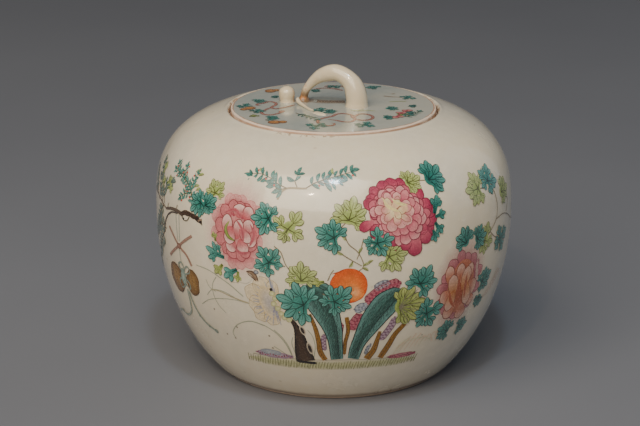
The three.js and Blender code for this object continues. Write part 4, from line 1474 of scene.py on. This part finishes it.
def hanging_charm():
    """Gourds tied with cords that hang from the branch under two crossed ribbons."""
    p = Painting(on_wall, 36).level(2)
    cord = (0.24, 0.31, 0.26)
    for route in ([(-57, 120.5), (-56.6, 112), (-56, 104)], [(-55.2, 120.5), (-55, 112), (-55, 104)],
                  [(-55.4, 101), (-55.2, 95), (-54.8, 89)]):
        twig(p, route, 0.8, 0.8, cord, 0.7)
    p.level(3)
    for route in ([(-61.6, 110), (-59.6, 107.2), (-55.4, 101), (-51.4, 97), (-49.2, 91.6)],
                  [(-62.2, 91.6), (-60, 95), (-55.6, 101), (-51.6, 106.6), (-48.4, 110.6)]):
        twig(p, route, 1.7, 1.7, (0.34, 0.16, 0.11), 0.9, (0.17, 0.07, 0.05))
    p.blob(p.spot((-55.4, 101)), (2.3, 1.8), 0, (0.40, 0.22, 0.15), (0.17, 0.07, 0.05), rings=3)
    for centre, radii, turn in (((-59.2, 79), (8.0, 9.4), 10), ((-49.8, 80.5), (6.0, 8.4), -8)):
        spot = p.spot(centre)
        rim = p.blob(spot, radii, turn, (0.36, 0.20, 0.05), (0.17, 0.08, 0.018), 5, 0.10, rings=6,
                     lean=(0, 1.6))
        p.line(rim[::3], 0.45, (0.07, 0.03, 0.006), 0.85, (0.17, 0.08, 0.018))
        for off in (-0.5, 0, 0.5):
            x = radii[0] * off
            rib = [spot + np.array(step) for step in ((x, -radii[1] * 0.7), (x * 1.3, 0),
                                                      (x, radii[1] * 0.7))]
            p.stroke(rib, even(0.5), (0.12, 0.05, 0.01), cover=0.6, on=(0.26, 0.14, 0.03))
    p.level(4)
    knot = {"light": (0.42, 0.52, 0.45), "mid": (0.20, 0.30, 0.25), "dark": (0.12, 0.20, 0.17),
            "line": (0.05, 0.09, 0.08)}
    for route in ([(-54.8, 85), (-56.8, 89), (-54.6, 91), (-53.4, 86)],
                  [(-54.4, 86), (-51.6, 90), (-50.6, 87), (-53.6, 84)],
                  [(-54.8, 82), (-57.4, 78), (-56.4, 74), (-54, 77)],
                  [(-54.4, 82), (-51.6, 79), (-51.8, 75), (-54, 78)]):
        twig(p, route, 1.2, 1.0, knot["mid"], 0.85, knot["line"])
    p.blob(p.spot((-54.6, 82)), (2.6, 5.6), 0, knot["light"], knot["mid"], rings=3)
    p.line(p.spots(((-55.6, 86), (-53.8, 82), (-55.4, 78))), 0.4, knot["line"], 0.8)
    twig(p, [(-53.6, 74.5), (-53.8, 66), (-54.6, 59.5), (-57, 55), (-60, 53), (-63.6, 54), (-67, 51)], 1.5,
         1.6, knot["mid"], 0.75, knot["dark"])
    twig(p, [(-52.8, 73.5), (-51.8, 65), (-50, 58.5), (-47.6, 54), (-45.4, 52), (-43, 50)], 1.5, 1.8,
         knot["mid"], 0.8, knot["dark"])
    for place, size in (((-50, 58), 2.4), ((-43.4, 50.4), 3.2), ((-62, 54.6), 2.0), ((-46.4, 52.4), 2.0)):
        p.dot(place, size, knot["dark"], 0.8)
    return p.piece("enamel_hanging_charm")


# ---- The painting on the side away from the front, which carries the same garden on round ----

def back_flowers():
    """Four round flowers on the side away from the front."""
    p = Painting(on_wall, 61).level(3)
    for place, radii, turn, tones, heart in (((172, 126), (20, 18), 20, MAGENTA, PINK),
                                             ((214, 92), (15, 19), -8, RUSSET, HEART),
                                             ((128, 108), (16, 16), 0, ROSE, HEART),
                                             ((246, 118), (12, 14), 0, ROSE, PINK)):
        centre = p.spot(place)
        rim = {**tones, "deep": tones["blush"], "pale": tones["deep"]}
        p.level(3).blob(centre, (radii[0] * 0.9, radii[1] * 0.9), turn, tones["blush"], tones["deep"],
                        rings=3)
        petal_ring(p, centre, radii, turn, 0.56, 16, radii[0] * 0.52, radii[0] * 0.46, rim, line=0.45)
        petal_ring(p.level(4), centre, radii, turn, 0.36, 13, radii[0] * 0.48, radii[0] * 0.44, tones, 9,
                   line=0.45)
        petal_ring(p.level(5), centre, radii, turn, 0.18, 9, radii[0] * 0.42, radii[0] * 0.40,
                   {**tones, "deep": tones["blush"]}, 4, line=0.4)
        petal_ring(p.level(6), centre, radii, turn, 0.05, 6, radii[0] * 0.30, radii[0] * 0.30, heart, 20,
                   line=0.35)
    return p.piece("enamel_back_flowers")


def back_leaves():
    """The leaves round those four flowers."""
    p = Painting(on_wall, 62).level(5)
    for place, turn, size, tones in (
            ((158, 108), 200, 15, TEAL), ((186, 110), 320, 14, TEAL), ((190, 143), 40, 12, TEAL),
            ((156, 142), 130, 11, SPRING),
            ((172, 102), 265, 12, MOSS), ((201, 78), 220, 13, TEAL), ((205, 113), 120, 11, MOSS),
            ((226, 104), 30, 12, TEAL),
            ((222, 74), 330, 12, MOSS), ((115, 98), 210, 12, TEAL), ((141, 98), 330, 12, TEAL),
            ((128, 128), 90, 11, SPRING),
            ((114, 120), 150, 10, MOSS), ((237, 106), 230, 11, TEAL), ((254, 128), 50, 10, SPRING),
            ((256, 106), 330, 11, TEAL),
            ((98, 132), 80, 10, TEAL), ((104, 84), 300, 11, SPRING)):
        leaf(p, place, turn, size, tones)
    return p.piece("enamel_back_leaves")


def back_stems():
    """The stems, sprigs, grass and turf of the side away from the front."""
    p = Painting(on_wall, 63).level(2)
    for route in ([(176, 44), (172, 62), (176, 84), (172, 104)],
                  [(173, 78), (184, 84), (200, 82), (212, 84)],
                  [(174, 66), (158, 74), (140, 82), (130, 94)], [(186, 112), (190, 128), (190, 142)],
                  [(158, 110), (154, 126), (156, 141)],
                  [(84, 103), (92, 98), (104, 98), (118, 104)], [(92, 98), (96, 114), (98, 131)],
                  [(214, 80), (228, 88), (240, 104)],
                  [(262, 118), (256, 112), (250, 108)]):
        twig(p, route, 1.0, 0.7, TWIG, 0.9)
    sprig(p, [(190, 144), (196, 150), (204, 154), (212, 155)], PALE_TEAL, 6.4, 3.8, berries=BERRY)
    sprig(p, [(156, 143), (148, 149), (140, 152), (132, 150)], PALE_TEAL, 6.4, 3.8, berries=BERRY)
    sprig(p, [(240, 112), (236, 126), (230, 138), (222, 144)], PALE_TEAL, 6.0, 3.8, berries=BERRY)
    sprig(p, [(98, 134), (102, 144), (108, 151)], PALE_TEAL, 6.0, 3.8, berries=BERRY)
    for place, lean in (((150, 46), 110), ((160, 44), 80), ((196, 45), 70), ((204, 46), 100)):
        start = p.spot(place)
        for step in (-24, -8, 10, 26):
            tip = start + heading(lean + step) * (18 + p.vary(5))
            bend = (start + tip) / 2 + heading(lean + step + 90) * p.vary(4)
            p.stroke([start, bend, tip], drawn_out(0.9, 0.3), MOSS["dark"], MOSS["mid"])
    ground = [(x, 41 - 0.0035 * (x - 176) ** 2) for x in range(150, 205, 6)]
    p.stroke(p.spots(ground), even(3.4), TURF["pale"], across=3)
    hatch(p, ground, 3.4, TURF["line"], 1.2, 70, 0.8, 0.45)
    return p.piece("enamel_back_stems")


# ---- The painting on the lid ----

def lid_scrolls():
    """Iron-red scrolls, drawn as soft bands with darker edges."""
    p = Painting(on_lid, 41).level(1)
    routes = [
        [(-44, -1.5), (-46.5, -0.5), (-46, 2.5), (-43, 4), (-39, 8), (-35.5, 5), (-35, 0), (-37.5, -6),
         (-35, -9.5), (-30.5, -7.5), (-23, 0)],
        [(-37.5, -6), (-41, -12), (-43, -17.5), (-41.5, -22), (-37.5, -23.5), (-34, -21.5), (-30.5, -17),
         (-30, -14.8), (-32, -15.5), (-32.4, -18)],
        [(-1.2, -42.2), (0.6, -43), (0, -46.5), (-3.2, -48), (-7, -45), (-9.3, -39.5), (-8, -34),
         (-5, -30.8), (-0.5, -27), (2, -22.7), (5.5, -21.3),
         (10, -23.6), (12.2, -28), (12.4, -35), (9.8, -39.5), (6, -39.4), (1, -36), (-3.4, -34.5)],
        [(12.5, -28.5), (15.2, -22.5), (19, -22), (22.5, -25.6), (23.3, -30.3), (21, -34.6), (16.4, -35.7),
         (12.8, -33.2)],
        [(11, -25.5), (11.6, -30.5), (13.4, -33)],
        [(-13, 38), (-9, 42), (-4, 43), (2, 40), (6, 36)], [(-6, 47), (-2, 50), (4, 49), (8, 45)],
    ]
    for route in routes:
        p.stroke(p.spots(route), even(2.0), (0.40, 0.18, 0.13), edge=(0.17, 0.04, 0.025), across=5,
                 step=0.9)
    return p.piece("enamel_lid_scrolls")


def lid_leaves():
    """Leaves and sprigs between the scrolls of the lid."""
    p = Painting(on_lid, 42).level(2)
    for place, turn, size, spread in (
            ((-54, -2), 30, 7, 150), ((-47.5, 9), 25, 7.5, 70), ((-46.5, -15), 35, 6.5, 110),
            ((-38, -31), 15, 7.5, 80),
            ((-9.5, -48), 200, 8.5, 150), ((-7, -15), 130, 8, 120), ((-3.4, -16.5), 330, 7, 90),
            ((17.5, -46), 20, 8, 140),
            ((32.5, -8.5), 0, 8, 45), ((30.5, -29.5), 10, 7.5, 60), ((47, -19.5), 170, 7, 80),
            ((49.5, -2), 170, 5, 70),
            ((45, 19), 20, 7, 120), ((26.5, 45), 150, 7.5, 90), ((-13, 35), 20, 6, 80),
            ((0, 46), 80, 6.5, 120), ((-34.5, 20), 180, 5, 60)):
        leaf(p, place, turn, size, TEAL, spread, 4, 0.5)
    for place, turn, size in (((-47, -27), 100, 5), ((38.5, -22), 10, 5), ((42, -23), 60, 5)):
        leaf(p, place, turn, size, MOSS, 60, 3, 0.5)
    for route in ([(-22.5, -20), (-18, -26), (-14, -30), (-10.5, -33.5)],
                  [(40, -28), (45, -25), (51, -15)]):
        sprig(p, route, TEAL, 4.4, 3.4)
    for route in ([(10.4, -13.3), (15.2, -15.4), (20, -14.2), (25, -15)],
                  [(34, 7.5), (39.3, 9), (44.6, 9.5)], [(12, -15.5), (18, -12)]):
        twig(p, route, 0.9, 0.7, MOSS["mid"], 0.9)
    twig(p, [(-46.5, -17), (-50, -13), (-53.5, -5)], 0.5, 0.5, MOSS["line"], 0.8)
    twig(p, [(-37, -31), (-40, -35), (-36, -39)], 0.5, 0.5, MOSS["line"], 0.8)
    return p.piece("enamel_lid_leaves")


def lid_fruit_and_flower():
    """Pairs of small gourds and one dusky flower on the lid."""
    p = Painting(on_lid, 43).level(3)
    gourd = {"pale": (0.46, 0.22, 0.055), "deep": (0.32, 0.11, 0.018), "line": (0.14, 0.035, 0.008)}
    dusky = {"pale": (0.58, 0.27, 0.23), "blush": (0.46, 0.12, 0.10), "deep": (0.34, 0.05, 0.045),
             "line": (0.16, 0.012, 0.02)}
    for place, radii, turn in (((-50.5, -7.5), (3.6, 3.2), 20), ((-54, -10), (2.2, 2.2), 0),
                               ((-34.5, -40), (3.8, 3.2), 0), ((-29.8, -39.6), (2.6, 2.4), 0),
                               ((-39.5, 36), (3.4, 4.2), 0), ((-36, 37.5), (2.2, 2.6), 0)):
        rim = p.blob(p.spot(place), radii, turn, gourd["pale"], gourd["deep"], rings=5, lean=(0.6, 0.8))
        p.line(rim[::3], 0.36, gourd["line"], 0.8, gourd["deep"])
    for place, angle, length in (((38, -27), 235, 6), ((38.5, -26), 320, 5), ((40.4, -20), 60, 6),
                                 ((40, -19.5), 130, 5), ((43.6, -14), 40, 6), ((43.2, -14.5), 110, 5)):
        p.petal(p.spot(place) - heading(angle) * 1.4, angle, length, length * 0.8, dusky, 2, 0.34)
    p.stroke(p.spots(((37, -29), (40.5, -19), (44.4, -12))), drawn_out(1.0, 0.6), ROSE["deep"])
    for route in ([(31.2, 22), (35, 20.6), (41.2, 19.4)], [(36, 28), (38.4, 28.6)]):
        twig(p, route, 1.1, 0.7, (0.36, 0.20, 0.09), 0.85)
    return p.piece("enamel_lid_fruit")


def dark_strip_behind_loop():
    """A dark brown strip across the lid from the handle's root to behind the loop, a dark patch at the root
    and a paler brown patch beside it.
    """
    p = Painting(on_lid, 44)
    strip_brown = (0.17, 0.085, 0.022)
    p.stroke(p.spots(((-22, 8), (-18, 10.5), (-13, 9.6), (-8, 7.6), (-1, 6.6), (7, 7))),
             lambda u: np.interp(u, (0, 0.2, 0.5, 1), (3.0, 5.2, 4.6, 4.0)), strip_brown, across=11, step=1.6,
             cover=0.9, fade=0.7)
    p.blob(p.spot((-17.4, 10)), (7.5, 6.5), 0, strip_brown, strip_brown, 7, 0.1, rings=9, cover=1.0, fade=0.9)
    p.blob(p.spot((-27, 9)), (7.4, 6.4), 0, (0.50, 0.36, 0.21), (0.50, 0.36, 0.21), 5, 0.1, rings=8,
           cover=0.7, fade=1.0)
    return p.piece("dark_strip_behind_loop")


# ---- The studio ----

def studio():
    """A plain floor and a dim, slightly cool surround."""
    bpy.ops.object.select_all(action="DESELECT")
    bpy.ops.mesh.primitive_plane_add(size=8, location=(0, 0, 0))
    floor = bpy.context.object
    floor.name = "studio_floor"
    finish = Finish("studio_floor", Roughness=0.6)
    colour = finish.mix(finish.noise(3, 2), (0.155, 0.162, 0.185, 1), (0.185, 0.192, 0.215, 1))
    finish.feed("Base Color", colour)
    floor.data.materials.append(finish.material)
    world = bpy.data.worlds.new("studio")
    bpy.context.scene.world = world
    world.use_nodes = True
    world.node_tree.nodes["Background"].inputs["Color"].default_value = (0.80, 0.88, 1.0, 1)
    world.node_tree.nodes["Background"].inputs["Strength"].default_value = 0.10


def soft_light(name, place, aim, size, watts, colour):
    """A rectangular light, in metres and watts, that faces its aim."""
    data = bpy.data.lights.new(name, "AREA")
    data.shape = "RECTANGLE"
    data.size, data.size_y = size
    data.energy = watts
    data.color = colour
    light = bpy.data.objects.new(name, data)
    light.location = place
    light.rotation_euler = (Vector(aim) - Vector(place)).to_track_quat("-Z", "Y").to_euler()
    bpy.context.scene.collection.objects.link(light)


LENS = 99.9  # millimetres, on a sensor 36 mm wide
EYE_DISTANCE = 1.1
EYE_PITCH = math.radians(18)
EYE_TARGET = Vector((0, 0, 0.090))
FRAME_LEFT = 0.0082  # how far left of its target, and above it, the camera aims
FRAME_UP = 0.0023


def camera():
    data = bpy.data.cameras.new("camera")
    data.lens = LENS
    data.sensor_width = 36
    eye = bpy.data.objects.new("camera", data)
    back = Vector((0, -math.cos(EYE_PITCH), math.sin(EYE_PITCH)))
    up = Vector((0, math.sin(EYE_PITCH), math.cos(EYE_PITCH)))
    eye.location = EYE_TARGET + back * EYE_DISTANCE
    aim = EYE_TARGET - Vector((FRAME_LEFT, 0, 0)) + up * FRAME_UP
    eye.rotation_euler = (aim - eye.location).to_track_quat("-Z", "Y").to_euler()
    bpy.context.scene.collection.objects.link(eye)
    bpy.context.scene.camera = eye


clay = biscuit()
jar_body()
lid_plate()
lid_flange(clay)
ivory = handle().data.materials[0]
stub(ivory)
tendril(ivory)
relief_leaf(ivory)

wall_enamel = enamel("wall_enamel", glaze_colour)
garden_ground()
grasses()
rocks()
coral_lumps()
trunks()
hibiscus()
peach()
left_peony()
centre_peony()
right_peony()
teal_leaves()
moss_leaves()
stems()
sprigs()
old_branch()
hanging_charm()
back_flowers()
back_leaves()
back_stems()

lid_enamel = enamel("lid_enamel", lid_glaze_colour)
dark_strip_behind_loop()
lid_scrolls()
lid_leaves()
lid_fruit_and_flower()

studio()
soft_light("key", (-0.6, -1.7, 2.0), (0, 0, 0.1), (2.6, 2.6), 92, (1, 0.89, 0.74))
soft_light("lamp", (-0.285, -1.126, 1.197), (0, -0.1, 0.13), (0.05, 0.05), 2.2, (1, 0.80, 0.55))
soft_light("window", (0.06, -0.70, 1.5), (0, -0.1, 0.13), (0.12, 0.20), 4.5, (0.66, 0.84, 1))
soft_light("side", (1.5, 0.5, 0.7), (0, 0, 0.05), (1.5, 1.5), 2.5, (0.62, 0.80, 1))
camera()
